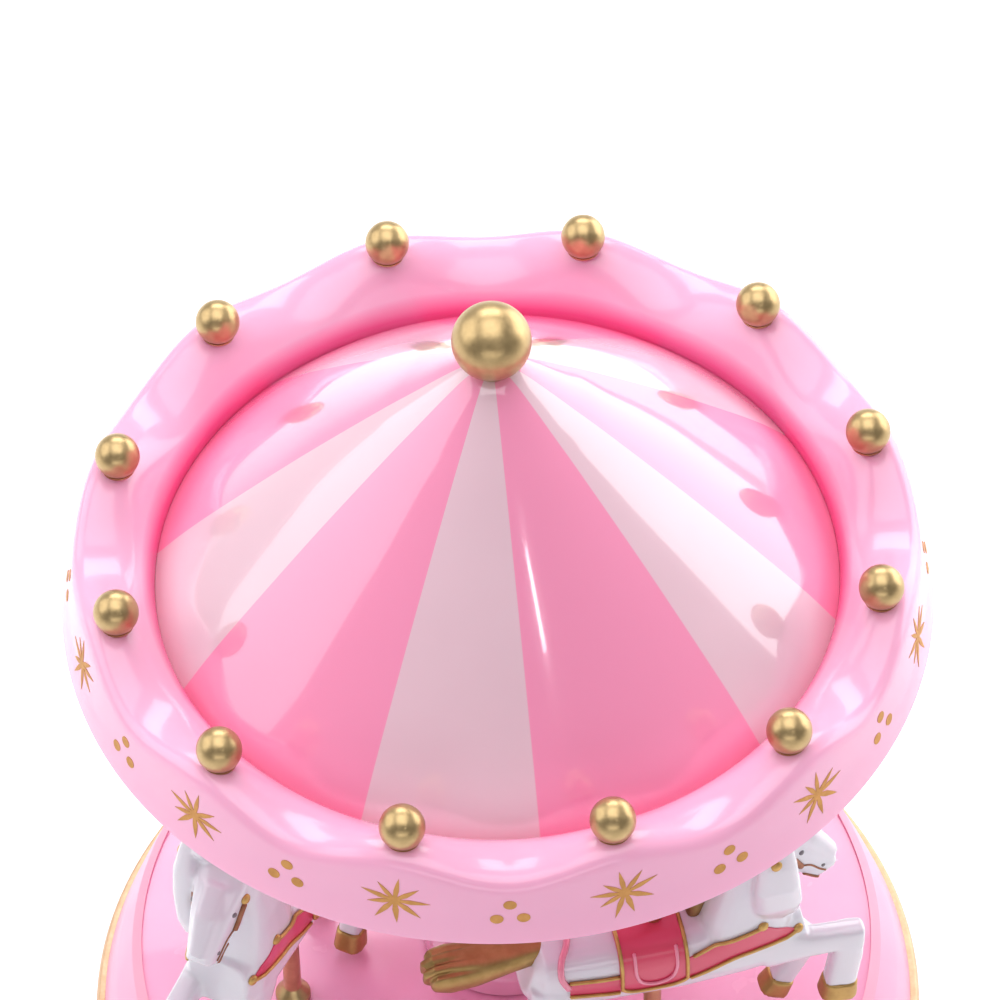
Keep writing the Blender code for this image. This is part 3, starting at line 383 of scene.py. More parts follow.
def metal(name, colour, roughness, grain_mm, squeeze):
    """Bare metal with a fine grain, which is squeezed along Y."""
    material = new_material(name, colour, roughness, metallic=1)
    values = {"Vector": object_point(material), "Scale": (1, squeeze, 1)}
    point = add_node(material, "Mapping", values).outputs["Vector"]
    grain = noise_output(material, grain_mm, 4, point)
    darker = tuple(0.8 * channel for channel in colour)
    vary_colour(material, remapped(material, grain, 0, 1), colour, darker)
    shade_with(material, {"Roughness": remapped(material, grain, roughness * 0.8, roughness * 1.35)})
    add_bump(material, grain, 0.01, 0.4)
    return material


def foam(name):
    """Black foam with open cells about half a millimetre across."""
    material = new_material(name, (0.03, 0.03, 0.032), 0.9)
    values = {"Scale": 1 / (0.5 * MM), "Vector": object_point(material)}
    cells = add_node(material, "TexVoronoi", values).outputs["Distance"]
    tone = remapped(material, cells, 0, 1, 0, 0.8)
    vary_colour(material, tone, (0.02, 0.02, 0.022), (0.06, 0.06, 0.064))
    add_bump(material, cells, 0.15, 0.8)
    return material


ROOF_STRIPES = striped_roof("roof_stripes")
BRIM_PINK = brim_plastic("brim_pink")
BASE_PINK = plastic("base_pink", (0.94, 0.36, 0.55), (0.91, 0.33, 0.53), (0.30, 0.38), coat=0.1)
COLUMN_PINK = plastic("column_pink", (0.94, 0.40, 0.60), (0.92, 0.38, 0.60))
DECK_PINK = plastic("deck_pink", (0.95, 0.40, 0.62), (0.93, 0.37, 0.60), (0.20, 0.28))
CEILING_PINK = plastic("ceiling_pink", (0.93, 0.45, 0.64), (0.91, 0.42, 0.62), (0.3, 0.4), coat=0.1)
TRIM_PINK = plastic("trim_pink", (0.94, 0.38, 0.52), (0.92, 0.35, 0.50), (0.4, 0.5), coat=0)
HORSE_WHITE = plastic("horse_white", (0.74, 0.71, 0.78), (0.71, 0.68, 0.76), (0.16, 0.24),
                      coat=0.5, subsurface=0.15)
SADDLE_RED = plastic("saddle_red", (0.72, 0.05, 0.13), (0.66, 0.04, 0.11), (0.30, 0.40),
                     coat=0.5, subsurface=0.05)
STIRRUP_PINK = plastic("stirrup_pink", (0.86, 0.28, 0.40), (0.82, 0.24, 0.36), (0.2, 0.3),
                       coat=0.5, subsurface=0.05)
FAN_BLACK = plastic("fan_black", (0.03, 0.03, 0.03), (0.04, 0.04, 0.04), (0.35, 0.5),
                    coat=0, subsurface=0)
EYE_DARK = plastic("eye_dark", (0.14, 0.12, 0.14), (0.18, 0.15, 0.17), (0.2, 0.3),
                   coat=0.5, subsurface=0)
GOLD = gold_paint("gold_paint", (0.57, 0.41, 0.205), (0.48, 0.34, 0.165), (0.30, 0.40))
GOLD_LINE = gold_paint("gold_line", (0.72, 0.50, 0.33), (0.64, 0.43, 0.27), (0.45, 0.58))
GOLD_PRINT = gold_paint("gold_print", (0.64, 0.34, 0.12), (0.54, 0.28, 0.10), (0.50, 0.65))
STRAP_GOLD = gold_paint("strap_gold", (0.60, 0.38, 0.14), (0.50, 0.30, 0.10), (0.40, 0.55))
HOOF_GOLD = gold_paint("hoof_gold", (0.50, 0.32, 0.12), (0.42, 0.26, 0.10), (0.40, 0.52))
TAIL_BRONZE = gold_paint("tail_bronze", (0.42, 0.27, 0.11), (0.34, 0.21, 0.08), (0.38, 0.50))
BRIDLE_BROWN = gold_paint("bridle_brown", (0.36, 0.16, 0.10), (0.28, 0.12, 0.07), (0.45, 0.60))
STEEL = metal("bright_steel", (0.62, 0.63, 0.65), 0.25, 0.6, 6)
BRASS = metal("plain_brass", (0.78, 0.56, 0.25), 0.28, 0.7, 4)
FOAM = foam("foot_foam")


# ---- canopy ----

def make_roof():
    """The cone: nearly straight, a little steeper at its foot, with a flat lower edge."""
    low, top, foot = node_sizes("canopy_roof")
    outer = smooth_line([(1.7, top), (3.4, 160.7), (6, 158.6), (9.6, 155.4), (13.7, 151.7), (22.9, 142.9),
                         (32.1, 133.5), (36.8, 128.4), (foot, low)], 10)
    inner = smooth_line([(foot - 2.2, low), (31, 132.2), (12.6, 150.4), (1.7, 159.2)], 6)
    profile = [(radius * MM, z * MM) for radius, z in outer + inner]
    roof = turned("roof_cone", profile, ROOF_STRIPES, 288, degrees=50)
    stand_for(roof, "carousel", "roof_gloss", "canopy_roof")


# The brim's section in millimetres: (radius, z) in a valley of the scallops, then at a crest.
BRIM_FACE = [
    (BRIM_RADIUS / MM, BRIM_LOW / MM) * 2, (51.1, 122.4) * 2, (50.6, 124.3) * 2, (50.1, 126.6, 50, 127.6),
    (49.7, 128.1, 49.45, 130.3), (48.8, 128.95, 48.5, 131.35), (47.4, 129.1, 47, 131.55),
    (45.4, 128.85, 45.3, 131.15), (43.4, 128.25, 43.6, 129.9), (42, 127.4, 42.1, 128.1),
    (40.9, 126.2) * 2, (BRIM_THROAT, 124.6) * 2, (BRIM_THROAT, 122.6) * 2,
]
BRIM_BACK = [
    (42.4, 122.6) * 2, (42.6, 125.2) * 2, (44.8, 126.8, 44.8, 128.6), (47.6, 127.4, 47.4, 129.6),
    (49.4, 124.3) * 2, (50, BRIM_LOW / MM) * 2,
]
BRIM_SEGMENTS = 576


def brim_line(section, crest):
    """(radius, z) points of a section; crest is 0 in a valley and 1 at a crest."""
    return [(radius + (crest_radius - radius) * crest, z + (crest_z - z) * crest)
            for radius, z, crest_radius, crest_z in section]


def crest_at(angle):
    return 0.5 + 0.5 * cos(len(BEADS) * (angle - BEAD_FIRST_ANGLE))


def make_brim():
    """The scalloped ring: its rim rises to a crest under each bead."""
    points = []
    for step in range(BRIM_SEGMENTS):
        angle = TAU * step / BRIM_SEGMENTS
        crest = crest_at(angle)
        section = smooth_line(brim_line(BRIM_FACE, crest), 5) + smooth_line(brim_line(BRIM_BACK, crest), 2)
        for radius, z in section:
            points.append((radius * MM * cos(angle), radius * MM * sin(angle), z * MM))
    faces = grid_faces(BRIM_SEGMENTS, len(points) // BRIM_SEGMENTS)
    brim = piece_from("brim_scallops", points, faces, BRIM_PINK, 60)
    stand_for(brim, "carousel", "pink_gloss", "canopy_brim")


WALL_LINES = {}


def wall_point(angle, height, lift):
    """A point on the brim's outer wall: height is millimetres above its foot, lift stands off it."""
    crest = round(crest_at(angle), 3)
    if crest not in WALL_LINES:
        WALL_LINES[crest] = smooth_line(brim_line(BRIM_FACE[:6], crest), 8)
    line = WALL_LINES[crest]
    for here, after in zip(line, line[1:]):
        if after[1] - BRIM_LOW / MM >= height:
            break
    share = (height + BRIM_LOW / MM - here[1]) / max(after[1] - here[1], 1e-6)
    radius, z = here + (after - here) * share
    slope = np.array((after[1] - here[1], here[0] - after[0]))
    slope /= np.linalg.norm(slope)
    radius += slope[0] * lift
    z += slope[1] * lift
    return (radius * MM * cos(angle), radius * MM * sin(angle), z * MM)


PRINT_LIFT = 0.05
PRINT_DEPTH = -0.10
PRINT_WALL_RADIUS = 50.6


def printed_patch(points, faces, flat, flat_faces, centre_angle, centre_height):
    """Add a flat figure, in millimetres, to points and faces as a thin layer on the wall."""
    start = len(points)
    for lift in (PRINT_LIFT, PRINT_DEPTH):
        for x, y in flat:
            points.append(wall_point(centre_angle + x / PRINT_WALL_RADIUS, centre_height + y, lift))
    count = len(flat)
    border = {}
    for face in flat_faces:
        faces.append([start + index for index in face])
        faces.append([start + count + index for index in reversed(face)])
        border.update(dict.fromkeys(zip(face, face[1:] + face[:1])))
    for here, after in border:
        if (after, here) not in border:
            faces.append([start + after, start + here, start + count + here, start + count + after])


def star_figure(rays, core):
    """A star with thin tapering rays: (angle in degrees, length, half width) each."""
    rays = sorted(rays)
    flat = [(0, 0)]
    for index, ray in enumerate(rays):
        gap = (rays[(index + 1) % len(rays)][0] - ray[0]) % 360
        middle = radians(ray[0] + gap / 2)
        flat.append((core * cos(middle), core * sin(middle)))
    faces = []
    for index, (degrees, length, half) in enumerate(rays):
        angle = radians(degrees)
        along = np.array((cos(angle), sin(angle)))
        across = np.array((-along[1], along[0]))
        notch, next_notch = 1 + (index - 1) % len(rays), 1 + index
        first = len(flat)
        for share in (0.45, 0.75):
            width = half * (1 - share) ** 0.7
            for side in (-1, 1):
                flat.append(tuple(along * length * share + across * side * width))
        flat.append(tuple(along * length))
        faces += [[0, notch, first, first + 1, next_notch], [first, first + 2, first + 3, first + 1],
                  [first + 2, first + 4, first + 3]]
    return flat, faces


STAR_RAYS = [(90, 3.4, 0.50), (38, 3.5, 0.50), (8, 4.2, 0.48), (-28, 3.7, 0.56), (-78, 3.2, 0.58),
             (-125, 3.6, 0.52), (-160, 3.3, 0.48), (168, 4.1, 0.50), (132, 3.1, 0.46)]
STAR_HEIGHT = 5.1
DOT_HEIGHT = 4.4
DOTS = [(0, 1.15), (-1.55, -0.85), (1.5, -0.75)]
DOT_RADII = (0.78, 0.62)


def make_brim_print():
    """A gold star under each bead and three gold dots between every two stars."""
    points, faces = [], []
    for index in range(len(BEADS)):
        angle = BEAD_FIRST_ANGLE + TAU * index / len(BEADS)
        twist = 9 * sin(2.3 * index)
        rays = [(degrees + twist + 4 * sin(5 * index + degrees), length, half)
                for degrees, length, half in STAR_RAYS]
        flat, flat_faces = star_figure(rays, 0.62)
        printed_patch(points, faces, flat, flat_faces, angle, STAR_HEIGHT)
        between = angle + TAU / len(BEADS) / 2
        for x, y in DOTS:
            steps = 18
            flat = [(x, y)]
            for step in range(steps):
                turn = TAU * step / steps
                flat.append((x + DOT_RADII[0] * cos(turn), y + DOT_RADII[1] * sin(turn)))
            flat_faces = [[0, 1 + step, 1 + (step + 1) % steps] for step in range(steps)]
            printed_patch(points, faces, flat, flat_faces, between, DOT_HEIGHT)
    stars = piece_from("brim_stars", points, faces, GOLD_PRINT, 30)
    stand_for(stars, "carousel", "gold_satin")


def ball_profile(radius, tallness, neck_radius, neck_low):
    """A ball on a short neck, as a (radius, z) profile about the ball's centre."""
    neck_angle = asin(neck_radius / radius)
    steps = 40
    profile = []
    for step in range(steps + 1):
        turn = (pi - neck_angle) * step / steps
        profile.append((radius * sin(turn), tallness * radius * cos(turn)))
    profile[0] = (0, tallness * radius)
    seat = profile[-1][1]
    return profile + [(neck_radius * 1.02, seat - 0.08 * MM), (neck_radius * 1.12, seat - 0.18 * MM),
                      (neck_radius * 1.12, neck_low), (0, neck_low)]


def make_beads():
    for index, name in enumerate(BEADS):
        low = node_low(name) - BEAD_Z
        profile = ball_profile(BEAD_RADIUS, BEAD_TALLNESS, 1.75 * MM, low)
        ball = turned(name.replace("crown_bead", "bead"), profile, GOLD, 48, closed=False)
        ball.location = (BEAD_CENTRES[index].x, BEAD_CENTRES[index].y, BEAD_Z)
        stand_for(ball, "carousel", "gold_satin", name)


def make_finial():
    low = node_low("finial") - FINIAL_Z
    seat = node_high("canopy_roof") + 0.15 * MM - FINIAL_Z
    profile = ball_profile(FINIAL_RADIUS, 1, 2.2 * MM, seat)[:-1]
    profile += [(1.4 * MM, seat), (1.4 * MM, low), (0, low)]
    ball = turned("finial_ball", profile, GOLD, 96, closed=False)
    ball.location = (0, 0, FINIAL_Z)
    stand_for(ball, "carousel", "gold_satin", "finial")


def make_ceiling():
    """The plate under the canopy, with a raised ring round the column and one near its edge."""
    low, high, edge = node_sizes("canopy_ceiling")
    outline = [
        (edge, high), (edge, low, 0.3), (45, low), (44.6, low + 0.4), (14, low + 0.4), (13.6, low),
    ]
    plate = turned("ceiling_plate", capped(outline), CEILING_PINK, 160, closed=False)
    stand_for(plate, "carousel", "pink_satin", "canopy_ceiling")


# ---- column, poles and turntable ----

def make_column():
    """A turned column with a moulded foot and head."""
    low, high, foot = node_sizes("centre_column")
    outer = [(9.2, high, 0.4), (9.2, high - 2, 0.5), (8.6, high - 2.6, 0.3), (8.6, high - 3.4, 0.6),
             (8.2, high - 8, 2), (8.2, low + 9, 2), (9.2, low + 5.4, 1), (9.2, low + 4.2, 0.4),
             (foot, low + 3.2, 1), (foot, low, 0.3), (6.4, low, 0.1), (6.4, high, 0.1)]
    column = turned("column_shaft", rounded(outer, 0.3, 5), COLUMN_PINK, 128)
    stand_for(column, "carousel", "pink_gloss", "centre_column")


def make_column_ring(node):
    """A band round the column with a half-round outer face."""
    low, high, outer = node_sizes(node)
    middle = (low + high) / 2
    bulge = 0.9
    profile = []
    steps = 16
    for step in range(steps):
        turn = pi / 2 - pi * step / (steps - 1)
        radius = outer - bulge + bulge * cos(turn)
        profile.append((radius * MM, (middle + bulge * sin(turn)) * MM))
    inner = (outer - 1.3) * MM
    profile += [(inner, profile[-1][1]), (inner, profile[0][1])]
    ring = turned(node + "_fine", profile, GOLD, 128)
    stand_for(ring, "carousel", "gold_satin", node)


def make_poles():
    """Straight rods with a small turned collar on the deck and one under the ceiling."""
    deck = DECK_Z / MM + 0.12
    ceiling = node_low("canopy_ceiling") / MM - 0.12
    rod = POLE_RADIUS / MM
    collar = rod + 1.1
    for index, name in enumerate(POLES):
        low, high, _ = node_sizes(name)
        outline = [
            (rod, high), (rod, ceiling + 0.1, 0), (collar, ceiling), (collar, ceiling - 0.8, 0.3),
            (rod + 0.3, ceiling - 1.6, 0.3), (rod, ceiling - 2), (rod, deck + 2.4),
            (rod + 0.3, deck + 2, 0.3), (collar, deck + 1, 0.3), (collar, deck), (rod, deck - 0.1, 0),
            (rod, low),
        ]
        pole = turned(name + "_rod", capped(outline), GOLD, 32, closed=False)
        pole.location = (POLE_FEET[index].x, POLE_FEET[index].y, 0)
        stand_for(pole, "carousel", "gold_satin", name)


def make_turntable():
    """The deck, with a skirt below its edge and a boss for the shaft."""
    low, deck, edge = node_sizes("turntable")
    underside = 50.8
    skirt = 48.6
    socket = 49.8
    outline = [
        (2, deck), (edge, deck, 0.06), (edge, skirt), (edge - 1.6, skirt), (edge - 1.6, underside, 0.6),
        (6, underside, 0.6), (5.6, low, 0.3), (2.3, low), (2.3, socket, 0.1), (0.5, socket),
    ]
    deck_piece = turned("deck_plate", capped(outline), DECK_PINK, 192, closed=False)
    stand_for(deck_piece, "carousel", "deck_pink", "turntable")


def make_ring(name, node, outline, material, slot, body):
    ring = turned(name, rounded(outline, 0.25, 5), material, 192)
    stand_for(ring, body, slot, node)


def make_turntable_trim():
    """The pale line round the deck; its foot laps over the lip of the drum."""
    low, high, _ = node_sizes("turntable_trim")
    inner = node_radius("turntable") / MM
    outer = inner + 0.82
    lap = outer + 0.45
    cover = node_high("base_shell") / MM + 0.08
    outline = [(lap, cover + 0.06, 0.02), (lap, cover, 0.02), (outer, cover, 0.02), (outer, low, 0.2),
               (inner, low, 0.1), (inner, high, 0.04)]
    make_ring("deck_edge_line", "turntable_trim", outline, TRIM_PINK, "pink_gloss", "carousel")


# ---- horses ----
# A horse is shaped in its own frame, in millimetres: the pole stands at x = y = 0, +X is
# forward, +Z is up and z = 0 is the deck. A bar is a list of stations along a limb:
# (x, y, z, half width, half depth).

HORSE_HEADINGS = {"horse_1": 11.9, "horse_2": 132.4, "horse_3": 243.2}
HORSE_FACES = 60000
BACK_AXIS_Z = 24.6
BAR_CORNERS = 24
TUBE_SIDES = 8
RAY_START = 30

TRUNK = [(-16, 0, 25, 3.2, 3.2), (-14.4, 0, 24.5, 4.7, 4.7), (-7, 0, 24.2, 5, 5.1), (3, 0, 24, 5, 5.2),
         (10, 0, 24.6, 5, 5.3), (15.5, 0, 25.6, 5, 5.2), (18.2, 0, 26, 4, 3.6)]
NECK = [(10.8, 0, 24, 5, 6.2), (11.3, 0, 30, 5.3, 5.7), (11.8, 0, 36, 5.1, 4.5), (12.2, 0, 41, 4.4, 3.9),
        (12.4, 0, 44.6, 3, 2.8)]
HEAD = [
    (12.2, 0, 42.8, 3.5, 3.2), (14.4, 0, 41, 3.4, 3.4), (17.3, 0, 38.4, 2.8, 3),
    (19.8, 0, 35.8, 2.1, 2.3), (21.2, 0, 34.1, 1.8, 1.9),
]
FACE_PLATE = [(15.8, 0, 42.8, 1.8, 1.5), (18.9, 0, 40, 1.7, 1.5), (21.8, 0, 35.8, 1.2, 1.2)]
SIDE_LOCK = [(14.6, -4.4, 49, 0.3, 0.5), (14.2, -4.6, 46.4, 1, 1.5), (13.9, -4.8, 42.4, 1.7, 2.5),
             (13.9, -4.7, 38, 1.9, 3), (14.2, -4.4, 34, 1.6, 3.1), (14.6, -3.9, 31.4, 1.2, 2.4)]
EARS = [
    [(13.4, 2.2 * side, 44.4, 1.1, 1.4), (14.6, 2.9 * side, 46.8, 0.9, 1.1),
     (15.6, 3.3 * side, 49, 0.25, 0.3)]
    for side in (-1, 1)
]
RAISED_FORELEG = [
    [(13.5, -3.3, 23.8, 1.7, 3.6), (18.6, -3.6, 23.3, 1.5, 2.1), (25.4, -3.6, 23, 1.45, 1.8)],
    [(23.7, -3.6, 24.6, 1.45, 1.9), (23.4, -3.6, 19.5, 1.45, 2.05), (22.7, -3.6, 14.4, 1.5, 2.05)],
]
FAR_FORELEG = [
    [(14, 3.3, 22.8, 1.7, 3.4), (17.6, 3.5, 17.6, 1.5, 2.1), (20.6, 3.5, 13.2, 1.45, 1.8)],
    [(20.5, 3.5, 14.2, 1.45, 1.7), (18.6, 3.5, 9.8, 1.4, 1.5), (17.2, 3.5, 7.2, 1.5, 1.6)],
]
NEAR_HINDLEG = [
    [(-12.4, -3.2, 23.4, 1.8, 3.9), (-14, -3.4, 17, 1.7, 2.4), (-15.4, -3.4, 11.2, 1.5, 1.8)],
    [(-15.4, -3.4, 11.9, 1.45, 1.7), (-14.4, -3.4, 7.4, 1.4, 1.5), (-13.6, -3.4, 4.2, 1.5, 1.6)],
]
FAR_HINDLEG = [
    [(-11.8, 3.2, 23, 1.8, 3.9), (-9.8, 3.4, 16.4, 1.7, 2.4), (-12.2, 3.4, 11.2, 1.5, 1.8)],
    [(-12.2, 3.4, 11.9, 1.45, 1.7), (-10.8, 3.4, 7.4, 1.4, 1.5), (-9.8, 3.4, 4.2, 1.5, 1.6)],
]
HOOVES = [
    [(22.72, -3.6, 14.6, 1.65, 2.2), (22.4, -3.6, 11.8, 1.9, 2.45)],
    [(17.3, 3.5, 7.4, 1.7, 1.75), (16.1, 3.5, 5, 1.95, 2.05)],
    [(-13.7, -3.4, 4.4, 1.7, 1.75), (-13.1, -3.4, 1.6, 1.95, 2.05)],
    [(-9.9, 3.4, 4.4, 1.7, 1.75), (-9.3, 3.4, 1.6, 1.95, 2.05)],
]
TAIL = [
    (-12, 0, 27.8, 1.3, 1.2), (-14.5, 0, 27.6, 1.8, 1.6), (-18, 0, 27.2, 2.1, 1.8),
    (-22, 0, 27, 2.7, 2.4), (-25.4, 0, 27.1, 3, 2.7), (-27.4, 0, 27.2, 2.6, 2.3),
    (-28.6, 0, 27.2, 1.4, 1.2),
]
MANE = [(5, 0, 29, 1.2, 1), (5.6, 0.3, 33, 1.7, 1.6), (7, 0.3, 38, 1.8, 1.9), (8.6, 0.2, 42.4, 1.8, 1.9),
        (11.4, 0, 46, 1.7, 1.5), (14.2, 0, 46.2, 1.3, 1)]


def bar_frames(stations):
    """The centre of each station with the directions of its width and depth."""
    frames = []
    for index, station in enumerate(stations):
        before = stations[max(index - 1, 0)]
        after = stations[min(index + 1, len(stations) - 1)]
        along = (Vector(after[:3]) - Vector(before[:3])).normalized()
        depth = along.cross(Vector((0, 1, 0))).normalized()
        frames.append((Vector(station[:3]), depth.cross(along), depth))
    return frames


def squared(value, squareness):
    return copysign(abs(value) ** (2 / squareness), value)


def bridge(shape, here, beyond):
    """Faces between two closed loops with as many points each."""
    for step in range(len(here)):
        after = (step + 1) % len(here)
        shape.faces.new((here[step], here[after], beyond[after], beyond[step]))


def add_bar(shape, stations, squareness):
    """Loft a closed bar through its stations; a higher squareness makes it boxier."""
    rings = []
    for station, (centre, across, depth) in zip(stations, bar_frames(stations)):
        ring = []
        for step in range(BAR_CORNERS):
            turn = TAU * step / BAR_CORNERS
            wide = squared(cos(turn), squareness) * station[3]
            deep = squared(sin(turn), squareness) * station[4]
            ring.append(shape.verts.new(centre + across * wide + depth * deep))
        rings.append(ring)
    for here, beyond in zip(rings, rings[1:]):
        bridge(shape, here, beyond)
    shape.faces.new(rings[0][::-1])
    shape.faces.new(rings[-1])


def fused(name, bars, voxel, relax, faces, squareness=3.4):
    """Bars fused by a voxel remesh, softened, and thinned to about a number of faces, in millimetres."""
    shape = bmesh.new()
    for bar in bars:
        add_bar(shape, bar, squareness)
    bmesh.ops.recalc_face_normals(shape, faces=shape.faces)
    source_mesh = bpy.data.meshes.new(name + "_bars")
    shape.to_mesh(source_mesh)
    shape.free()
    source = link(bpy.data.objects.new(name + "_bars", source_mesh))
    remesh = source.modifiers.new("Fuse", "REMESH")
    remesh.mode = "VOXEL"
    remesh.voxel_size = voxel
    soften = source.modifiers.new("Soften", "SMOOTH")
    soften.iterations = relax
    soften.factor = 0.5
    graph = bpy.context.evaluated_depsgraph_get()
    count = len(source.evaluated_get(graph).data.polygons)
    thin = source.modifiers.new("Thin", "DECIMATE")
    thin.ratio = min(1, faces / (2 * count))
    graph = bpy.context.evaluated_depsgraph_get()
    mesh = bpy.data.meshes.new_from_object(source.evaluated_get(graph))
    mesh.name = name
    bpy.data.objects.remove(source, do_unlink=True)
    mesh.shade_smooth()
    return mesh


def tree_of(mesh):
    shape = bmesh.new()
    shape.from_mesh(mesh)
    tree = BVHTree.FromBMesh(shape)
    shape.free()
    return tree


def on_flank(tree, x, z, side, lift):
    """The point of the body at (x, z) seen from one side, raised by lift."""
    start = Vector((x, side * RAY_START, z))
    place, normal, _, _ = tree.ray_cast(start, Vector((0, -side, 0)))
    if place is None:
        return Vector((x, 0, z))
    return place + normal * lift


def round_body(tree, x, turn, lift):
    """The point of the body at x and at an angle from straight up; + is to the right."""
    ray = Vector((0, -sin(turn), cos(turn)))
    start = Vector((x, 0, BACK_AXIS_Z)) + ray * RAY_START
    place, normal, _, _ = tree.ray_cast(start, -ray)
    return place + normal * lift


def sheet_mesh(name, face, back):
    """A thin closed skin between two grids of points of the same size."""
    row_count, column_count = len(face), len(face[0])
    shape = bmesh.new()
    layers = [[[shape.verts.new(point) for point in row] for row in layer] for layer in (face, back)]
    for layer in layers:
        for row in range(row_count - 1):
            for column in range(column_count - 1):
                shape.faces.new((layer[row][column], layer[row][column + 1], layer[row + 1][column + 1],
                                 layer[row + 1][column]))
    rim = [(row, 0) for row in range(row_count)]
    rim += [(row_count - 1, column) for column in range(1, column_count)]
    rim += [(row, column_count - 1) for row in range(row_count - 2, -1, -1)]
    rim += [(0, column) for column in range(column_count - 2, 0, -1)]
    bridge(shape, *([layer[row][column] for row, column in rim] for layer in layers))
    return mesh_of(name, shape, 50)


def add_tube(shape, path, radius, closed=False):
    """A round rail along a path; the ends of an open one are low cones."""
    path = [Vector(point) for point in path]
    count = len(path)
    rings = []
    across = None
    for index, point in enumerate(path):
        before = path[index - 1] if closed or index else path[0]
        after = path[(index + 1) % count] if closed or index < count - 1 else path[-1]
        along = (after - before).normalized()
        if across is None:
            across = along.orthogonal().normalized()
        across = (across - along * across.dot(along)).normalized()
        lift = along.cross(across)
        turns = [TAU * step / TUBE_SIDES for step in range(TUBE_SIDES)]
        rings.append([shape.verts.new(point + (across * cos(turn) + lift * sin(turn)) * radius)
                      for turn in turns])
    pairs = list(zip(rings, rings[1:]))
    if closed:
        start = rings[0]
        shift = min(range(TUBE_SIDES), key=lambda step: (rings[-1][0].co - start[step].co).length)
        pairs.append((rings[-1], start[shift:] + start[:shift]))
    for here, beyond in pairs:
        bridge(shape, here, beyond)
    if not closed:
        for ring, end, inner in ((rings[0], path[0], path[1]), (rings[-1], path[-1], path[-2])):
            tip = shape.verts.new(end + (end - inner).normalized() * radius * 0.7)
            for step in range(TUBE_SIDES):
                shape.faces.new((ring[step], ring[(step + 1) % TUBE_SIDES], tip))


def add_stud(shape, place, normal, radius):
    """A low domed stud that stands on the surface."""
    turn = Vector((0, 0, 1)).rotation_difference(normal).to_matrix().to_4x4()
    matrix = Matrix.Translation(place) @ turn @ Matrix.Diagonal((radius, radius, radius * 0.55, 1))
    bmesh.ops.create_uvsphere(shape, u_segments=16, v_segments=10, radius=1, matrix=matrix)


def mesh_of(name, shape, degrees=60):
    bmesh.ops.recalc_face_normals(shape, faces=shape.faces)
    mesh = bpy.data.meshes.new(name)
    shape.to_mesh(mesh)
    shape.free()
    smooth(mesh, degrees)
    return mesh


# The flank strap: (x, z) along its upper and its lower edge, from the rump to the chest.
STRAP_HIGH = [(-11.4, 26), (-8, 25.7), (-4.9, 25.6), (-0.8, 25.4), (3.9, 26.7), (8.9, 28.9), (12.4, 30.5)]
STRAP_LOW = [(-11.4, 23.4), (-8, 22.9), (-4.9, 22.5), (-0.8, 22.2), (4.2, 23), (10.4, 25.6), (17, 27.4)]
SADDLE_X = (-5.3, 3.3)
SADDLE_REACH = radians(117)
SADDLE_CORNER = radians(22)
# Heights of the face and the back of each sheet above the body.
STRAP_LIFTS = (0.16, -0.30)
SADDLE_LIFTS = (0.40, -0.20)
STRAP_STEPS = 6
SADDLE_STEPS = (24, 72)
BORDER_STEPS = (24, 60, 24, 60)
# The stirrup strap: (x, share of the way down to the hem).
STIRRUP_LINE = [(-3.4, 0.40), (-3.3, 0.66), (-2.6, 0.81), (-0.8, 0.87), (1, 0.81), (1.7, 0.66), (1.8, 0.40)]
# The strap round the root of the tail: (x, degrees from straight up).
TAIL_STRAP_LINE = [(-11.6, 84), (-12.4, 62), (-12.2, 42), (-11.2, 22), (-10.6, 0)]
# The lines of the bridle: (x, z) points, lift above the head and radius.
BRIDLE_LINES = [
    ([(15.9, 40.8), (16.9, 39), (17.6, 37.6)], 0.08, 0.42),
    ([(17.6, 37.6), (18.9, 37), (20, 35.6), (20.9, 34.8)], 0.04, 0.13),
    ([(18.2, 35), (19.3, 33.9), (20.4, 33.2)], 0.04, 0.22),
]
# Studs on each side of the head, as (x, z, radius): the buckle, then the eye and the nostril.
BUCKLES = [(15.6, 41.5, 0.7)]
FACE_DOTS = [(17.6, 40.4, 0.38), (20.6, 36, 0.30)]


def strap_edges():
    return smooth_line(STRAP_HIGH, 8), smooth_line(STRAP_LOW, 8)


def make_strap_mesh(tree, side):
    layers = []
    for lift in STRAP_LIFTS:
        rows = []
        for upper, lower in zip(*strap_edges()):
            places = [lower + (upper - lower) * step / STRAP_STEPS for step in range(STRAP_STEPS + 1)]
            rows.append([on_flank(tree, x, z, side, lift) for x, z in places])
        layers.append(rows)
    return sheet_mesh("right_strap" if side < 0 else "left_strap", *layers)


def saddle_extent(share):
    """How far down the saddle cloth hangs at a share of its length: its lower corners are round."""
    across = abs(2 * share - 1)
    return SADDLE_REACH - SADDLE_CORNER * (1 - (1 - across ** 3) ** (1 / 3))


def saddle_point(tree, share, down, lift):
    """share runs forward along the saddle, down runs from the left hem (-1) to the right hem (1)."""
    x = SADDLE_X[0] + (SADDLE_X[1] - SADDLE_X[0]) * share
    return round_body(tree, x, saddle_extent(share) * down, lift)


def make_saddle_mesh(tree):
    along, around = SADDLE_STEPS
    layers = []
    for lift in SADDLE_LIFTS:
        layers.append([[saddle_point(tree, step / along, -1 + 2 * turn / around, lift)
                        for turn in range(around + 1)] for step in range(along + 1)])
    return sheet_mesh("saddle_cloth", *layers)


def saddle_border(tree, inset, lift):
    """A closed path just inside the edge of the saddle cloth."""
    edge = 1 - inset
    corners = [(inset, edge), (edge, edge), (edge, -edge), (inset, -edge)]
    path = []
    for here, beyond, steps in zip(corners, corners[1:] + corners[:1], BORDER_STEPS):
        for step in range(steps):
            share = here[0] + (beyond[0] - here[0]) * step / steps
            down = here[1] + (beyond[1] - here[1]) * step / steps
            path.append(saddle_point(tree, share, down, lift))
    return path


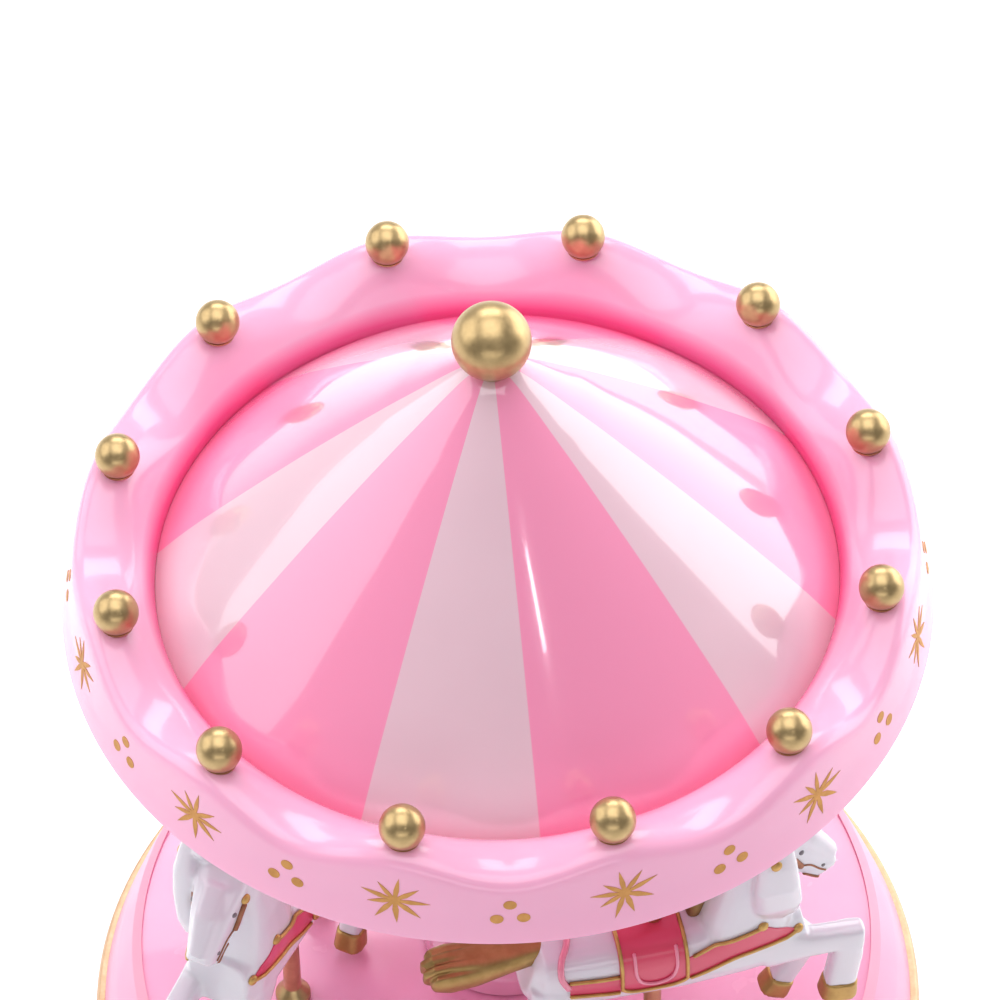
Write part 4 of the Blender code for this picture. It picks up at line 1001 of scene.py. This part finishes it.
def make_gold_edges(tree):
    """Gold rails along the saddle's hem and both edges of the straps, and studs at their ends."""
    shape = bmesh.new()
    add_tube(shape, saddle_border(tree, 0.03, 0.50), 0.25, closed=True)
    rear, front = SADDLE_X
    for side in (-1, 1):
        for edge in strap_edges():
            behind = [point for point in edge if point[0] < rear]
            ahead = [point for point in edge if point[0] > front]
            for part in (behind, ahead):
                add_tube(shape, [on_flank(tree, x, z, side, 0.26) for x, z in part], 0.26)
        for x, z in (STRAP_HIGH[-1], STRAP_LOW[-1]):
            add_stud(shape, on_flank(tree, x, z, side, 0.1), Vector((0.3, side, 0.2)).normalized(), 0.7)
    add_stud(shape, on_flank(tree, 13.6, 43.4, -1, 0), Vector((0.3, -1, 0.2)).normalized(), 0.75)
    return mesh_of("gold_edges", shape)


def make_stirrup_mesh(tree):
    """The raised line of the stirrup strap on each side, and the strap round the root of the tail."""
    shape = bmesh.new()
    for line, unit, lift, radius in ((STIRRUP_LINE, SADDLE_REACH, 0.54, 0.24),
                                     (TAIL_STRAP_LINE, radians(1), 0.25, 0.42)):
        for side in (-1, 1):
            path = [round_body(tree, x, side * unit * turn, lift) for x, turn in smooth_line(line, 8)]
            add_tube(shape, path, radius)
    return mesh_of("thin_straps", shape)


def head_line(tree, points, side, lift):
    """A line on the head, found on the left, where nothing hangs over it, and mirrored for the right."""
    places = [on_flank(tree, x, z, 1, lift) for x, z in points]
    return [Vector((place.x, side * place.y, place.z)) for place in places]


def make_bridle_mesh(tree):
    """Cheek straps, the thin line from each to the nostril and the line along the jaw."""
    shape = bmesh.new()
    for side in (-1, 1):
        for points, lift, radius in BRIDLE_LINES:
            add_tube(shape, head_line(tree, smooth_line(points, 6), side, lift), radius)
    return mesh_of("bridle", shape)


def make_head_studs(tree, name, dots, lift, lean):
    """Studs on both sides of the head, each (x, z, radius); lean tips them forward."""
    shape = bmesh.new()
    for side in (-1, 1):
        for x, z, radius in dots:
            place = head_line(tree, [(x, z)], side, lift)[0]
            add_stud(shape, place, Vector((lean, side, 0.3)).normalized(), radius)
    return mesh_of(name, shape)


def groove_hair(mesh, spacing, depth, start_x, fade):
    """Press long grooves into a lock of hair; they deepen from start_x towards its tip."""
    count = len(mesh.vertices)
    places = np.empty((count, 3))
    normals = np.empty((count, 3))
    mesh.vertices.foreach_get("co", places.ravel())
    mesh.vertices.foreach_get("normal", normals.ravel())
    share = np.clip((start_x - places[:, 0]) / fade, 0, 1)
    wave = 0.5 + 0.5 * np.cos(TAU * (places[:, 1] + 0.25 * (places[:, 2] - 27)) / spacing)
    places -= normals * (depth * share * wave ** 3)[:, None]
    mesh.vertices.foreach_set("co", places.ravel())
    mesh.update()


def make_horse_meshes():
    """The meshes of one horse with the material and slot of each, in millimetres."""
    limbs = [TRUNK, NECK, HEAD, FACE_PLATE, SIDE_LOCK] + EARS
    for leg in (RAISED_FORELEG, FAR_FORELEG, NEAR_HINDLEG, FAR_HINDLEG):
        limbs += leg
    body = fused("horse_body", limbs, 0.32, 5, HORSE_FACES)
    tree = tree_of(body)
    tail = fused("horse_tail", [TAIL], 0.22, 4, 24000, 2.4)
    groove_hair(tail, 1.7, 0.55, -21.5, 5)
    mane = fused("horse_mane", [MANE], 0.25, 4, 16000, 2.4)
    hooves = fused("horse_hooves", HOOVES, 0.25, 3, 12000, 3)
    return [
        (body, HORSE_WHITE, "horse_white"),
        (tail, TAIL_BRONZE, "gold_satin"),
        (mane, TAIL_BRONZE, "gold_satin"),
        (hooves, HOOF_GOLD, "gold_satin"),
        (make_strap_mesh(tree, -1), SADDLE_RED, "deck_pink"),
        (make_strap_mesh(tree, 1), SADDLE_RED, "deck_pink"),
        (make_saddle_mesh(tree), SADDLE_RED, "deck_pink"),
        (make_gold_edges(tree), STRAP_GOLD, "gold_satin"),
        (make_stirrup_mesh(tree), STIRRUP_PINK, "deck_pink"),
        (make_bridle_mesh(tree), BRIDLE_BROWN, "gold_satin"),
        (make_head_studs(tree, "buckles", BUCKLES, 0.05, 0.3), STRAP_GOLD, "gold_satin"),
        (make_head_studs(tree, "eyes", FACE_DOTS, -0.03, 0.5), EYE_DARK, "fan_black"),
    ]


def make_horses():
    meshes = make_horse_meshes()
    for mesh, material, _ in meshes:
        mesh.transform(Matrix.Scale(MM, 4))
        mesh.materials.clear()
        mesh.materials.append(material)
    for name, foot in zip(HORSES, POLE_FEET):
        turn = Matrix.Rotation(radians(HORSE_HEADINGS[name]), 4, "Z")
        place = Matrix.Translation((foot.x, foot.y, DECK_Z)) @ turn
        for mesh, _, slot in meshes:
            piece = link(bpy.data.objects.new(name + "_" + mesh.name, mesh))
            piece.matrix_world = place
            bpy.context.view_layer.update()
            stand_for(piece, "carousel", slot, name)


# ---- base ----

def make_base():
    """The drum: a sloping shoulder, two grooves for gold bands and a flared foot."""
    low, high, _ = node_sizes("base_shell")
    lip = node_radius("turntable") / MM + 0.95
    outline = [
        (lip + 0.1, high, 0.1), (49.4, 46.2, 3), (51.3, 40.8, 0.2), (50.5, 40.8, 0.1), (50.4, 38.2, 0.1),
        (50.7, 38.2, 0.1), (50.8, 9, 0.1), (50.3, 9, 0.1), (50.3, 6.8, 0.1), (51.6, 6.6, 0.3),
        (52.2, 5.4, 0.8), (52.2, low, 0.5), (47.8, low, 0.3), (47.8, 15.3, 0.3), (43.4, 15.3, 0.2),
        (43.4, 17.2, 0.2), (48.4, 17.4, 0.4), (48.4, 43, 1.5), (lip, 49, 1),
    ]
    shell = turned("base_drum", rounded(outline, 0.3, 6), BASE_PINK, 224)
    stand_for(shell, "base", "pink_gloss", "base_shell")


def make_band(name, node):
    """A gold band with a shallow ridge along its middle."""
    low, high, outer = node_sizes(node)
    inner = outer - 1.5
    outline = [(outer - 0.45, high, 0.4), (outer, (low + high) / 2, 0.8), (outer - 0.45, low, 0.4),
               (inner, low, 0.1), (inner, high, 0.1)]
    make_ring(name, node, outline, GOLD_LINE, "gold_satin", "base")


def make_foot():
    low, high, outer = node_sizes("foot_ring")
    inner = outer - 3.9
    outline = [(outer, high, 0.1), (outer, low, 0.15), (inner, low, 0.15), (inner, high, 0.1)]
    make_ring("foot_foam_ring", "foot_ring", outline, FOAM, "foam_black", "base")


def paint(node, material):
    """Give a carried-over CAD node a finer material."""
    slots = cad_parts[node].data.materials
    slots.clear()
    slots.append(material)


STEEL_PARTS = (
    "cover_screw_1", "cover_screw_2", "cover_screw_3", "bedplate", "mainspring", "output_shaft",
    "winding_arbor", "cylinder_arbor", "governor_arbor", "comb", "comb_screw_1", "comb_screw_2",
)
BRASS_PARTS = (
    "movement_spacer_1", "movement_spacer_2", "movement_spacer_3", "barrel_bridge", "governor_bracket",
    "outer_bracket", "spring_barrel", "barrel_lid", "pinned_cylinder", "cylinder_wheel", "idler_wheel",
    "comb_bed",
)


def paint_movement():
    for node in STEEL_PARTS:
        paint(node, STEEL)
    for node in BRASS_PARTS:
        paint(node, BRASS)
    paint("bottom_cover", CEILING_PINK)
    paint("air_brake_fan", FAN_BLACK)
    paint("winding_key", GOLD)


# ---- stage ----

CAMERA_ELEVATION = radians(50.27)
CAMERA_DISTANCE = 16.88 * BEAD_RING_RADIUS
CAMERA_LENS = 238.6
CAMERA_YAW = radians(0.04)
CAMERA_PITCH = radians(0.18)
CAMERA_ROLL = radians(1.42)


def turned_pair(first, second, angle):
    """Two directions at right angles, turned in their own plane."""
    return (first * cos(angle) - second * sin(angle),
            first * sin(angle) + second * cos(angle))


def make_camera():
    """A long lens that looks down at the canopy from in front."""
    right = Vector((1, 0, 0))
    up = Vector((0, sin(CAMERA_ELEVATION), cos(CAMERA_ELEVATION)))
    ahead = Vector((0, cos(CAMERA_ELEVATION), -sin(CAMERA_ELEVATION)))
    place = Vector((0, 0, BEAD_Z)) - ahead * CAMERA_DISTANCE
    right, ahead = turned_pair(right, ahead, CAMERA_YAW)
    up, ahead = turned_pair(up, ahead, CAMERA_PITCH)
    right, up = turned_pair(right, up, CAMERA_ROLL)
    data = bpy.data.cameras.new("view")
    data.lens = CAMERA_LENS
    data.sensor_width = 36
    data.clip_start = 0.01
    data.clip_end = 20
    camera = link(bpy.data.objects.new("view", data))
    axes = Matrix((right, up, -ahead)).transposed().to_4x4()
    camera.matrix_world = Matrix.Translation(place) @ axes
    bpy.context.scene.camera = camera


FLOOR_SIZE = 3
FLOOR_WHITE = (0.86, 0.86, 0.86)
FLOOR_GREY = (0.50, 0.50, 0.50)
FLOOR_GREY_Y = -0.45
FLOOR_WHITE_Y = -0.06
FLOOR_GLOW = 0.30
WHITE = (1, 1, 1, 1)
WORLD_FRONT = 0.24
WORLD_BACK = 0.66
WORLD_SPREAD = 0.9


def make_light(name, place, target, width, height, power):
    data = bpy.data.lights.new(name, "AREA")
    data.shape = "RECTANGLE"
    data.size = width
    data.size_y = height
    data.energy = power
    light = link(bpy.data.objects.new(name, data))
    light.location = place
    aim = Vector(target) - Vector(place)
    light.rotation_euler = aim.to_track_quat("-Z", "Y").to_euler()


def make_floor():
    """A white floor that falls to pale grey in front of the object."""
    corners = [(-1, -1), (1, -1), (1, 1), (-1, 1)]
    points = [(x * FLOOR_SIZE, y * FLOOR_SIZE, 0) for x, y in corners]
    material = new_material("floor_white", FLOOR_WHITE, 0.8)
    share = remapped(material, object_axes(material)["Y"], 0.4, 1, FLOOR_GREY_Y, FLOOR_WHITE_Y)
    vary_colour(material, share, FLOOR_GREY, FLOOR_WHITE)
    glow = math_node(material, "MULTIPLY", share, FLOOR_GLOW)
    shade_with(material, {"Emission Color": WHITE, "Emission Strength": glow})
    piece_from("floor", points, [(0, 1, 2, 3)], material)


def make_world():
    """White surroundings, brightest behind the object and dim in front of it."""
    world = bpy.data.worlds.new("studio")
    bpy.context.scene.world = world
    world.use_nodes = True
    direction = add_node(world, "TexCoord", {}).outputs["Generated"]
    split = add_node(world, "SeparateXYZ", {"Vector": direction})
    strength = remapped(world, split.outputs["Y"], WORLD_FRONT, WORLD_BACK, -WORLD_SPREAD, WORLD_SPREAD)
    connect(world, world.node_tree.nodes["Background"], {"Color": WHITE, "Strength": strength})


def make_lights():
    aim = (0, 0, 0.12)
    make_light("softbox_left", (-0.75, 0.15, 0.55), aim, 0.9, 0.7, 3.2)
    make_light("softbox_right", (0.62, 0.42, 0.28), aim, 0.85, 0.50, 3.6)
    make_light("softbox_back", (0, 0.75, 0.75), aim, 0.7, 0.4, 3.5)
    make_light("softbox_top", (0, -0.05, 1.05), aim, 0.9, 0.9, 4.8)
    make_light("softbox_low", (0, -0.90, 0.30), (0, 0, 0.06), 0.9, 0.25, 1.2)
    make_light("strip_front", (0.24, -0.62, 0.67), aim, 0.020, 0.08, 0.09)


def set_view():
    view = bpy.context.scene.view_settings
    view.view_transform = "Standard"
    view.look = "None"
    view.exposure = 0
    view.gamma = 1


make_camera()
make_world()
make_lights()
set_view()
make_floor()
make_roof()
make_brim()
make_brim_print()
make_beads()
make_finial()
make_ceiling()
make_column()
make_column_ring("column_foot_ring")
make_column_ring("column_top_ring")
make_poles()
make_turntable()
make_turntable_trim()
make_horses()
make_base()
make_band("rim_band_fine", "base_rim_band")
make_band("foot_band_fine", "base_foot_band")
make_foot()
paint_movement()
